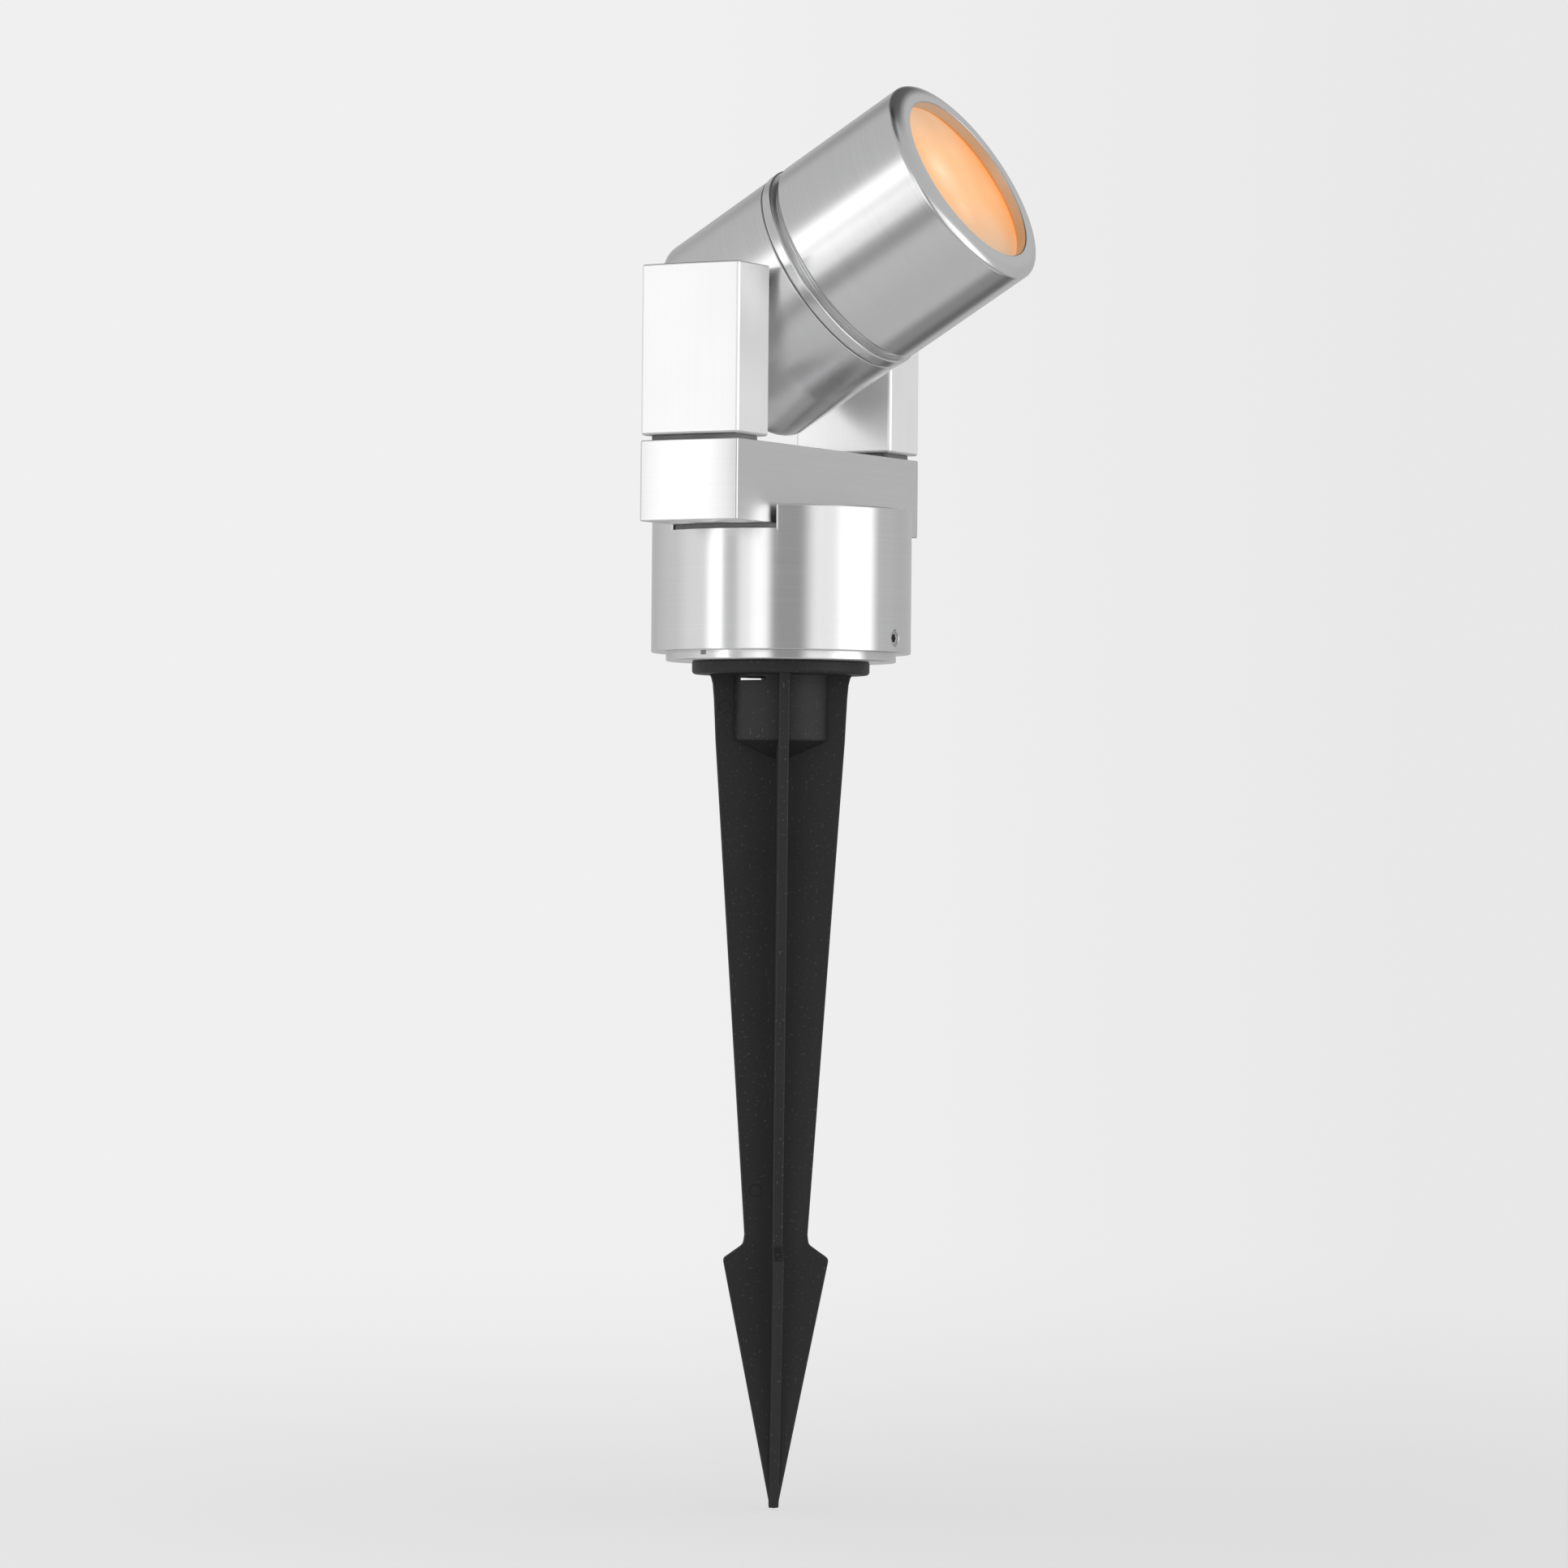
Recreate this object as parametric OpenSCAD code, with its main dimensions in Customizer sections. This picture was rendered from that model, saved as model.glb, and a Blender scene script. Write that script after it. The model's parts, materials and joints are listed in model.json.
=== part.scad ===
/* [Base] */
// Diameter of the round base housing
base_d = 65; // [58:1:80]
// Height of the base housing, up to its two half-moon tops
base_h = 35.8; // [34:0.1:45]
// Depth of the channel milled across the top of the base housing
slot_depth = 6; // [4:0.5:8]
// Clear space on each side of the crossbar in that channel
slot_gap = 0.8; // [0.4:0.1:1.2]
// Diameter of the plug that closes the base from below
plug_d = 57.6; // [56:0.1:58]
// Height of the plug that shows below the housing
plug_drop = 2.1; // [1:0.1:4]

/* [Yoke] */
// Length of the crossbar, and the width over the two uprights
yoke_w = 94; // [94:1:100]
// Thickness of the crossbar and the uprights from front to back
yoke_t = 27.5; // [24:0.5:28]
// Height of the crossbar
bar_h = 19.8; // [16:0.1:24]
// Width of one upright, across the yoke
upright_w = 16.5; // [15:0.1:16.8]
// Height of the uprights
upright_h = 41.8; // [40:0.1:48]
// Height of the rubber pads under the crossbar and the uprights
pad_h = 1.2; // [0.8:0.1:1.6]
// Distance from the tilt axis down to the foot of the uprights
pivot_rise = 34.6; // [34:0.1:38]

/* [Head] */
// Outer diameter of the lamp housing
head_d = 56; // [55:0.5:57]
// Distance from the tilt axis to the closed rear end
rear_len = 17.5; // [16:0.5:20]
// Distance from the tilt axis to the front face
front_len = 60; // [59:0.5:66]
// Angle of the light above the horizon, as modelled
elevation = 30; // [-20:1:90]
// Diameter of the opening in the front lip
opening_d = 44.6; // [40:0.2:46]
// Width of the lock ring behind the front sleeve
ring_w = 2.9; // [2:0.1:4]

/* [Stake] */
// Length of the stake, from the top of its flange to its tip
stake_len = 212; // [208:1:260]
// Diameter of the stake's flange
flange_d = 44.5; // [40:0.5:50]
// Thickness of the flange
flange_t = 3.2; // [2.5:0.1:4]
// Thickness of the four fins
fin_t = 2.5; // [2:0.1:3]
// Width over the fins under the flange
fin_w = 34.8; // [32:0.2:38]
// Width over the barb near the tip
barb_w = 26.2; // [20:0.2:28]
// Turn of the fins against the yoke
fin_turn = 33; // [0:1:89]

/* [Hidden] */
$fn = 96;
eps = 0.01;
// running clearance on the radius where one piece turns in another
run = 0.05;

// heights, from the ground line at the underside of the flange
plug_z = flange_t;
base_z = plug_z + plug_drop;
base_top_z = base_z + base_h;
floor_z = base_top_z - slot_depth;
bar_z = floor_z + pad_h;
bar_top_z = bar_z + bar_h;
upright_z = bar_top_z + pad_h;
pivot_z = upright_z + pivot_rise;

// plug and housing
base_r = base_d / 2;
plug_r = plug_d / 2;
plug_h = 11.6;
plug_floor = 4.5;
plug_wall = 5.4;
plug_top_z = plug_z + plug_h;
grub_z = base_z + 3.6;
grub_r = 2;
grub_len = 4.2;
groove_depth = 1.6;
seal_r = 1.1;
seal_z = base_z + 7.6;
seal_mid_r = plug_r + 0.03 - seal_r;
notch_turn = 168;
cavity_r = 26;
roof_t = 5;
roof_z = floor_z - roof_t;
slot_w = yoke_t + 2 * slot_gap;

// cable gland, on the side of the housing under the right end of the crossbar
gland_z = base_z + 17.5;
gland_x = base_r - 1.3;
gland_spot_r = 8.6;
gland_thread_r = 5.9;
gland_bore_r = 4.2;
gland_hex_r = 8.1;
gland_hex_h = 3.6;
gland_seal_t = 0.8;
gland_stub = 3;
gland_nut_h = 7;
cable_r = 3.25;

// fasteners, M6 at the stake and M5 in the yoke
m6_r = 3;
m5_r = 2.5;
m3_r = 1.5;
insert_r = 4;
insert_len = 12;
washer_t = 1.2;
bar_screw_x = 17;
bar_screw_y = 8;
upright_screw_y = 8.5;
counterbore = 5.5;
upright_in_x = yoke_w / 2 - upright_w;
upright_mid_x = yoke_w / 2 - upright_w / 2;
pad_inset = 1.9;

// wiring channel through the right upright and the crossbar
lead_r = 1.6;
channel_r = 2.6;
channel_z = bar_z + 9;
channel_plug_r = 3.2;
channel_plug_t = 3;

// terminal block under the roof of the housing
block_w = 20;
block_d = 14;
block_h = 9;
block_gap = 3.1;
block_top_z = roof_z - block_gap;
block_post_x = 6.5;
block_post_r = 3;

// pivot: hollow bolts from inside the head into the uprights
bolt_r = 4;
bolt_bore_r = 2.2;
bolt_head_r = 6;
bolt_head_h = 3.2;
bolt_grip = 5.5;
boss_face = upright_in_x - 1;
boss_r = 7;
inner_pad_x = 22.5;
spring_t = 0.8;
slip = 0.05;

// head, along its own axis from the tilt axis
head_r = head_d / 2;
head_wall = 3;
rear_wall = 4;
rear_round = 3;
rear_front = 16.8;
ring_gap = 0.15;
ring_back = rear_front + ring_gap;
ring_front = ring_back + ring_w;
sleeve_back = ring_front + 2.2;
spigot_r = head_r - 1.6;
spigot_wall = 3;
spigot_front = sleeve_back + 10.5;
head_seal_r = 0.6;
head_seal_s = spigot_front - 2.4;
head_seal_mid_r = spigot_r + 0.03 - head_seal_r;
thread_pitch = 0.75;
thread_depth = 0.35;
lip_t = 2.6;
lip_round = 2.2;
lens_r = 25;
lens_t = 3;
gasket_t = 0.6;
lip_back = front_len - lip_t;
lens_front = lip_back - gasket_t - slip;
thread_front = spigot_front + 3;

// lamp, a 50 mm reflector lamp with a twist-lock foot
lamp_r = 24.6;
lamp_front = lens_front - lens_t - 0.5;
lamp_rim = 6;
lamp_len = 45;
lamp_foot_r = 14;
lamp_foot_len = 10;
lamp_back = lamp_front - lamp_len;
window_r = 22;
window_t = 2;
pin_r = 1.2;
pin_x = 5;
pin_len = 7;
holder_r = 13;
holder_len = 14;
holder_front = lamp_back - 0.3;
holder_back = holder_front - holder_len;
bracket_w = 42;
bracket_d = 12;
bracket_t = 1.2;
post_y = 17;
post_r = 3.2;

// stake
tip_z = flange_t - stake_len;
stake_boss_r = 11.8;
stake_boss_h = 16.4;
stake_cone_h = 4.6;
fillet = 0.8;
waist_z = -16.5;
neck_w = 15.8;
barb_z = tip_z + 62;
tip_r = 1.1;

// colours
satin = [0.74, 0.74, 0.75];
steel = [0.62, 0.63, 0.65];
black = [0.08, 0.08, 0.085];
rubber = [0.16, 0.16, 0.16];
brass = [0.80, 0.65, 0.32];
ceramic = [0.93, 0.92, 0.88];
glow = [1.0, 0.78, 0.56];

// ---- helpers ---------------------------------------------------------------

// places what is drawn along +Z on the head's own axis, tilt axis at its origin
module at_head() {
    translate([0, 0, pivot_z]) rotate([90 - elevation, 0, 0]) children();
}

module both_x() {
    children();
    mirror([1, 0, 0]) children();
}

module both_y() {
    children();
    mirror([0, 1, 0]) children();
}

// one copy in place and one half a turn round Z
module diagonal() {
    children();
    rotate([0, 0, 180]) children();
}

// turns what is drawn along +Z so that it runs along +X
module along_x() {
    rotate([0, 90, 0]) children();
}

module ring(r_out, r_in, h) {
    difference() {
        cylinder(r = r_out, h = h);
        translate([0, 0, -1]) cylinder(r = r_in, h = h + 2);
    }
}

module torus(mid_r, r) {
    rotate_extrude() translate([mid_r, 0]) circle(r = r, $fn = 32);
}

// half profile of a disc: round edge at the top, another at the foot
module soft_profile(r, h, top, foot) {
    square([r - top, h]);
    translate([0, foot]) square([r, h - top - foot]);
    square([r - foot, foot + eps]);
    translate([r - top, h - top]) intersection() {
        circle(r = top, $fn = 48);
        square(top);
    }
    translate([r - foot, foot]) intersection() {
        circle(r = foot, $fn = 48);
        translate([0, -foot]) square(foot);
    }
}

module soft_disc(r, h, top, foot) {
    rotate_extrude() soft_profile(r, h, top, foot);
}

// plan of a bar of length l and depth w with round corners and crowned ends
module crowned_plan(l, w, r, crown) {
    intersection() {
        union() {
            square([l - 2 * r, w], center = true);
            square([l, w - 2 * r], center = true);
            for (x = [r - l / 2, l / 2 - r], y = [r - w / 2, w / 2 - r])
                translate([x, y]) circle(r = r, $fn = 48);
        }
        translate([l / 2 - crown, 0]) circle(r = crown, $fn = 240);
        translate([crown - l / 2, 0]) circle(r = crown, $fn = 240);
    }
}

// socket screw: the head's seat at z = 0, the head above it, the shank below
module socket_screw(r, len, head_r, head_h) {
    difference() {
        union() {
            cylinder(r = head_r, h = head_h);
            translate([0, 0, -len]) cylinder(r = r, h = len + eps);
        }
        translate([0, 0, head_h * 0.4]) cylinder(r = r * 0.95, h = head_h, $fn = 6);
    }
}

// ---- stake -----------------------------------------------------------------

// one fin across the axis, in the plane y = 0, with the barb and the round tip
module fin() {
    half = [
        [fin_w / 2, 0], [fin_w / 2 - 0.4, -2.5], [fin_w / 2 - 0.7, -6],
        [fin_w / 2 - 1, -12], [fin_w / 2 - 1.2, waist_z],
        [neck_w / 2, barb_z + 6.8], [neck_w / 2 + 0.3, barb_z + 4.6],
        [barb_w / 2 - 3, barb_z + 2.8], [barb_w / 2 - 0.4, barb_z + 1.2],
        [barb_w / 2, barb_z], [tip_r, tip_z + tip_r]
    ];
    outline = concat(half, [for (i = [len(half) - 1:-1:0]) [-half[i].x, half[i].y]]);
    rotate([90, 0, 0]) linear_extrude(fin_t, center = true) {
        polygon(outline);
        translate([0, tip_z + tip_r]) circle(r = tip_r, $fn = 32);
        for (s = [-1, 1]) translate([s * fin_w / 2, 0]) difference() {
            translate([-fillet, -fillet]) square([2 * fillet, fillet + 0.5]);
            translate([s * fillet, -fillet]) circle(r = fillet, $fn = 32);
            translate([s < 0 ? -2 * fillet : fillet, -2 * fillet]) square([fillet, 3 * fillet]);
        }
    }
}

// shallow round mark of an ejector pin on the face of a fin
module pin_mark(y, z) {
    translate([-fin_t / 2 - 0.8, y, z]) along_x() cylinder(r = 1.6, h = 1);
}

module stake() {
    color(black) rotate([0, 0, fin_turn]) difference() {
        union() {
            soft_disc(flange_d / 2, flange_t, 0.45, 0.9);
            translate([0, 0, -stake_boss_h]) cylinder(r = stake_boss_r, h = stake_boss_h + 1);
            translate([0, 0, -stake_boss_h - stake_cone_h])
                cylinder(r1 = 2, r2 = stake_boss_r, h = stake_cone_h);
            fin();
            rotate([0, 0, 90]) fin();
        }
        translate([0, 0, flange_t - insert_len]) cylinder(r = insert_r, h = insert_len + 1);
        translate([0, 0, flange_t - insert_len - 4]) cylinder(r = m6_r, h = 5);
        // flat slot across the boss, close under the flange
        translate([0, 7.3, -1.1]) cube([40, 6, 0.9], center = true);
        pin_mark(14, -8.1);
        pin_mark(5.2, -129);
    }
}

module stake_insert() {
    color(brass) translate([0, 0, flange_t - insert_len]) ring(insert_r, m6_r, insert_len);
}

module stake_washer() {
    color(steel) translate([0, 0, plug_z + plug_floor]) ring(6.2, m6_r + 0.2, washer_t);
}

module stake_screw() {
    color(steel) translate([0, 0, plug_z + plug_floor + washer_t])
        socket_screw(m6_r, 16, 5.2, 4);
}

// closes the base from below and carries it: the grub screws run in its groove
module bottom_plug() {
    color(satin) difference() {
        translate([0, 0, plug_z]) soft_disc(plug_r, plug_h, 0.4, 0.6);
        translate([0, 0, plug_z + plug_floor]) cylinder(r = plug_r - plug_wall, h = plug_h);
        translate([0, 0, plug_z - 1]) cylinder(r = m6_r + 0.2, h = plug_floor + 2);
        rotate_extrude() polygon([
            [plug_r + 1, grub_z - 3.4], [plug_r - groove_depth, grub_z - 0.9],
            [plug_r - groove_depth, grub_z + 0.9], [plug_r + 1, grub_z + 3.4]
        ]);
        translate([0, 0, seal_z - seal_r - 0.1])
            ring(plug_r + 1, seal_mid_r - seal_r, 2 * seal_r + 0.2);
        rotate([0, 0, notch_turn]) translate([plug_r, 0, base_z - 0.5])
            cube([2, 1.8, 1], center = true);
    }
}

module plug_seal() {
    color(rubber) translate([0, 0, seal_z]) torus(seal_mid_r, seal_r);
}

// ---- base ------------------------------------------------------------------

module base_housing() {
    color(satin) difference() {
        translate([0, 0, base_z]) soft_disc(base_r, base_h, 0.5, 0.4);
        translate([0, 0, base_z - 1]) cylinder(r = plug_r + run, h = plug_top_z - base_z + 1 + run);
        translate([0, 0, plug_top_z]) cylinder(r = cavity_r, h = roof_z - plug_top_z);
        translate([0, 0, floor_z + 10]) cube([2 * base_d, slot_w, 20], center = true);
        both_y() translate([0, cavity_r, grub_z]) rotate([-90, 0, 0])
            cylinder(r = grub_r, h = base_r);
        translate([0, 0, gland_z]) along_x() cylinder(r = gland_thread_r, h = base_d);
        translate([gland_x, 0, gland_z]) along_x() cylinder(r = gland_spot_r, h = 10);
        diagonal() translate([bar_screw_x, bar_screw_y, roof_z - 1])
            cylinder(r = m5_r + 0.2, h = 10);
        translate([0, 0, roof_z - 1]) cylinder(r = channel_r, h = 10);
        both_x() translate([block_post_x, 0, roof_z - 1]) cylinder(r = m3_r, h = 4.5);
    }
}

module grub_screws() {
    point = 0.6;
    color(steel) both_y() translate([0, base_r - 0.5, grub_z]) rotate([90, 0, 0])
        difference() {
            union() {
                cylinder(r = grub_r, h = grub_len - point);
                translate([0, 0, grub_len - point]) cylinder(r1 = grub_r, r2 = 1.2, h = point);
            }
            translate([0, 0, -1]) cylinder(r = 1.15, h = 3, $fn = 6);
        }
}

module gland_seal() {
    color(rubber) translate([gland_x, 0, gland_z]) along_x()
        ring(gland_thread_r + 1.6, gland_thread_r, gland_seal_t);
}

module gland_body() {
    hex_x = gland_x + gland_seal_t;
    color(black) translate([hex_x, 0, gland_z]) along_x() difference() {
        union() {
            cylinder(r = gland_hex_r, h = gland_hex_h, $fn = 6);
            translate([0, 0, -8]) cylinder(r = gland_thread_r, h = 8 + gland_hex_h + gland_stub);
        }
        translate([0, 0, -9]) cylinder(r = gland_bore_r, h = 30);
    }
}

module gland_nut() {
    nut_x = gland_x + gland_seal_t + gland_hex_h + 0.3;
    color(black) translate([nut_x, 0, gland_z]) along_x() difference() {
        union() {
            cylinder(r = gland_hex_r, h = gland_nut_h - 2, $fn = 6);
            translate([0, 0, gland_nut_h - 3]) soft_disc(6.9, 3, 2, 0.1);
        }
        translate([0, 0, -1]) cylinder(r = gland_thread_r, h = gland_stub + 1);
        translate([0, 0, -1]) cylinder(r = gland_bore_r, h = gland_nut_h);
        translate([0, 0, -1]) cylinder(r = cable_r + 0.3, h = 20);
    }
}

// rubber bush that grips the cable
module gland_bush() {
    bush_x = gland_x - 2;
    bush_end = gland_x + gland_seal_t + gland_hex_h + 0.3 + gland_nut_h - 1;
    color(rubber) translate([bush_x, 0, gland_z]) along_x()
        ring(gland_bore_r, cable_r, bush_end - bush_x);
}

module terminal_block() {
    color(ceramic) difference() {
        union() {
            translate([-block_w / 2, -block_d / 2, block_top_z - block_h])
                cube([block_w, block_d, block_h]);
            both_x() translate([block_post_x, 0, block_top_z - eps])
                cylinder(r = block_post_r, h = block_gap + eps);
        }
        both_x() translate([block_post_x, 0, block_top_z - block_h - 1])
            cylinder(r = m3_r, h = block_h + block_gap + 2);
        for (x = [-3, 3]) translate([x, -block_d, block_top_z - block_h / 2])
            rotate([-90, 0, 0]) cylinder(r = 1.4, h = block_d - 2);
    }
}

module block_screws() {
    color(steel) both_x() translate([block_post_x, 0, block_top_z - block_h])
        rotate([180, 0, 0]) socket_screw(m3_r, block_h + block_gap + 3, 2.6, 2);
}

module bar_pad() {
    color(rubber) difference() {
        translate([0, 0, floor_z]) intersection() {
            cylinder(r = base_r - 0.9, h = pad_h);
            cube([base_d, slot_w - 0.4, 10], center = true);
        }
        diagonal() translate([bar_screw_x, bar_screw_y, floor_z - 1])
            cylinder(r = m5_r + 0.2, h = 4);
        translate([0, 0, floor_z - 1]) cylinder(r = channel_r, h = 4);
    }
}

module crossbar() {
    color(satin) difference() {
        translate([0, 0, bar_z]) linear_extrude(bar_h) crowned_plan(yoke_w, yoke_t, 0.7, 190);
        diagonal() translate([bar_screw_x, bar_screw_y, bar_z - 1]) cylinder(r = m5_r, h = 12);
        both_x() both_y() translate([upright_mid_x, upright_screw_y, bar_z - 1]) {
            cylinder(r = m5_r + 0.2, h = bar_h + 2);
            cylinder(r = 4.6, h = counterbore + 1);
        }
        translate([upright_mid_x, 0, channel_z]) cylinder(r = channel_r, h = bar_h);
        translate([-channel_r, 0, channel_z]) along_x() cylinder(r = channel_r, h = yoke_w);
        translate([yoke_w / 2 - channel_plug_t - 0.5, 0, channel_z]) along_x()
            cylinder(r = channel_plug_r, h = 10);
        translate([0, 0, bar_z - 1]) cylinder(r = channel_r, h = channel_z - bar_z + 1);
    }
}

// closes the end of the drilled wiring channel
module channel_plug() {
    color(satin) translate([yoke_w / 2 - channel_plug_t - 0.5, 0, channel_z]) along_x()
        cylinder(r = channel_plug_r, h = channel_plug_t + 0.4);
}

module bar_screws() {
    color(steel) diagonal() translate([bar_screw_x, bar_screw_y, roof_z]) rotate([180, 0, 0])
        socket_screw(m5_r, roof_t + pad_h + 10, 4.2, 3);
}

// ---- yoke ------------------------------------------------------------------

module upright() {
    difference() {
        translate([upright_mid_x, 0, upright_z]) linear_extrude(upright_h)
            crowned_plan(upright_w, yoke_t, 1, 190);
        translate([upright_in_x - 1, 0, pivot_z]) along_x() cylinder(r = bolt_r, h = bolt_grip + 1);
        translate([upright_in_x - 1, 0, pivot_z]) along_x()
            cylinder(r = bolt_bore_r, h = upright_w / 2 + 1);
        translate([upright_mid_x, 0, upright_z - 1])
            cylinder(r = channel_r, h = pivot_rise + 1 + channel_r);
        both_y() translate([upright_mid_x, upright_screw_y, upright_z - 1])
            cylinder(r = m5_r, h = 16);
    }
}

module right_upright() {
    color(satin) upright();
}

module left_upright() {
    color(satin) mirror([1, 0, 0]) upright();
}

module pad() {
    translate([upright_mid_x, 0, bar_top_z]) difference() {
        linear_extrude(pad_h)
            crowned_plan(upright_w - 2 * pad_inset, yoke_t - 2 * pad_inset, 1, 150);
        translate([0, 0, -1]) cylinder(r = channel_r, h = 4);
        both_y() translate([0, upright_screw_y, -1]) cylinder(r = m5_r, h = 4);
    }
}

module right_pad() {
    color(rubber) pad();
}

module left_pad() {
    color(rubber) mirror([1, 0, 0]) pad();
}

module upright_screws() {
    len = bar_h - counterbore + pad_h + 13;
    color(steel) both_x() both_y()
        translate([upright_mid_x, upright_screw_y, bar_z + counterbore])
            rotate([180, 0, 0]) socket_screw(m5_r, len, 4.3, 5);
}

// hollow bolts that the head turns on
module pivot_bolts() {
    seat = inner_pad_x - spring_t - slip;
    color(steel) both_x() translate([seat, 0, pivot_z]) along_x() difference() {
        union() {
            translate([0, 0, -bolt_head_h]) cylinder(r = bolt_head_r, h = bolt_head_h, $fn = 6);
            cylinder(r = bolt_r, h = upright_in_x + bolt_grip - seat);
        }
        translate([0, 0, -10]) cylinder(r = bolt_bore_r, h = 40);
    }
}

module spring_washers() {
    color(steel) both_x() translate([inner_pad_x - spring_t - slip, 0, pivot_z]) along_x()
        ring(bolt_head_r, bolt_r, spring_t);
}

module friction_washers() {
    color(rubber) both_x() translate([boss_face + slip, 0, pivot_z]) along_x()
        ring(boss_r, bolt_r, upright_in_x - boss_face - slip);
}

// lead from the right pivot bolt down to the terminal block
module yoke_lead() {
    color(black) {
        translate([boss_face, 0, pivot_z]) along_x()
            cylinder(r = lead_r, h = upright_mid_x - boss_face);
        translate([upright_mid_x, 0, pivot_z]) sphere(r = lead_r, $fn = 32);
        translate([upright_mid_x, 0, channel_z]) cylinder(r = lead_r, h = pivot_z - channel_z);
        translate([upright_mid_x, 0, channel_z]) sphere(r = lead_r, $fn = 32);
        translate([0, 0, channel_z]) along_x() cylinder(r = lead_r, h = upright_mid_x);
        translate([0, 0, channel_z]) sphere(r = lead_r, $fn = 32);
        translate([0, 0, block_top_z]) cylinder(r = lead_r, h = channel_z - block_top_z);
    }
}

// ---- head ------------------------------------------------------------------

// V-shaped groove round a shaft of radius r, at z = 0
module thread_groove(r) {
    rotate_extrude() polygon([
        [r - thread_depth, 0], [r + 0.1, -thread_pitch / 2], [r + 0.1, thread_pitch / 2]
    ]);
}

module rear_housing() {
    cavity_front = rear_front - 2;
    color(satin) at_head() difference() {
        union() {
            translate([0, 0, rear_front]) mirror([0, 0, 1])
                soft_disc(head_r, rear_front + rear_len, rear_round, 0.3);
            cylinder(r = spigot_r, h = spigot_front);
            both_x() along_x() cylinder(r = boss_r, h = boss_face);
        }
        difference() {
            translate([0, 0, rear_wall - rear_len])
                cylinder(r = head_r - head_wall, h = cavity_front + rear_len - rear_wall);
            both_x() translate([inner_pad_x, 0, 0]) along_x() cylinder(r = boss_r + 1.5, h = 10);
            both_y() translate([0, post_y, rear_wall - rear_len - 1])
                cylinder(r = post_r, h = holder_back - bracket_t - rear_wall + rear_len + 1);
        }
        cylinder(r = spigot_r - spigot_wall, h = 40);
        translate([-head_d, 0, 0]) along_x() cylinder(r = bolt_r + run, h = 2 * head_d);
        both_y() translate([0, post_y, holder_back - bracket_t - 5]) cylinder(r = m3_r, h = 6);
        translate([0, 0, head_seal_s - head_seal_r - 0.1])
            ring(head_r, head_seal_mid_r - head_seal_r, 2 * head_seal_r + 0.2);
        for (i = [0:3]) translate([0, 0, ring_front + 0.6 + i * thread_pitch])
            thread_groove(spigot_r);
    }
}

module lock_ring() {
    color(satin) at_head() translate([0, 0, ring_back]) difference() {
        soft_disc(head_r + 0.25, ring_w, 0.6, 0.6);
        translate([0, 0, -1]) cylinder(r = spigot_r, h = ring_w + 2);
    }
}

module head_seal() {
    color(rubber) at_head() translate([0, 0, head_seal_s])
        torus(head_seal_mid_r, head_seal_r);
}

module head_lead() {
    color(black) at_head() translate([holder_r - eps, 0, 0]) along_x()
        cylinder(r = lead_r, h = boss_face - holder_r - 2);
}

module lamp_holder() {
    color(ceramic) at_head() difference() {
        translate([0, 0, holder_back]) soft_disc(holder_r, holder_len, 0.8, 0.8);
        both_x() translate([pin_x, 0, lamp_back - pin_len]) cylinder(r = pin_r, h = pin_len + 1);
    }
}

module holder_bracket() {
    color(steel) at_head() translate([0, 0, holder_back - bracket_t]) difference() {
        intersection() {
            translate([0, 0, bracket_t / 2])
                cube([bracket_d, bracket_w, bracket_t], center = true);
            translate([0, 0, -1]) cylinder(r = bracket_w / 2, h = 4);
        }
        both_y() translate([0, post_y, -1]) cylinder(r = m3_r, h = 4);
        translate([0, 0, -1]) cylinder(r = 3, h = 4);
    }
}

module bracket_screws() {
    color(steel) at_head() both_y() translate([0, post_y, holder_back])
        socket_screw(m3_r, bracket_t + 4, 2.7, 1.8);
}

module lamp_reflector() {
    bowl = lamp_back + lamp_foot_len;
    color(ceramic) at_head() difference() {
        union() {
            translate([0, 0, lamp_back]) cylinder(r = lamp_foot_r, h = lamp_foot_len + eps);
            translate([0, 0, bowl]) cylinder(
                r1 = lamp_foot_r, r2 = lamp_r - 0.6, h = lamp_front - lamp_rim - bowl + eps);
            translate([0, 0, lamp_front - lamp_rim]) cylinder(r = lamp_r, h = lamp_rim);
        }
        translate([0, 0, lamp_front - window_t]) cylinder(r = window_r, h = window_t + 1);
        both_x() translate([pin_x, 0, lamp_back - 1]) cylinder(r = pin_r, h = 5);
    }
}

module lamp_window() {
    color(glow) at_head() translate([0, 0, lamp_front - window_t])
        cylinder(r = window_r, h = window_t);
}

module lamp_pins() {
    color(brass) at_head() both_x() translate([pin_x, 0, lamp_back - pin_len])
        cylinder(r = pin_r, h = pin_len + 4);
}

module front_sleeve() {
    color(satin) at_head() difference() {
        translate([0, 0, sleeve_back])
            soft_disc(head_r, front_len - sleeve_back, lip_round, 0.4);
        translate([0, 0, sleeve_back - 1])
            cylinder(r = spigot_r + run, h = thread_front - sleeve_back + 1);
        translate([0, 0, sleeve_back]) cylinder(r = lens_r + run, h = lip_back - sleeve_back);
        translate([0, 0, sleeve_back]) cylinder(r = opening_d / 2, h = front_len);
    }
}

module front_lens() {
    color(glow) at_head() translate([0, 0, lens_front - lens_t]) cylinder(r = lens_r, h = lens_t);
}

module lens_gasket() {
    color(rubber) at_head() translate([0, 0, lens_front])
        ring(lens_r, opening_d / 2 + 0.4, gasket_t);
}

// ---- what is drawn ---------------------------------------------------------

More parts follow.
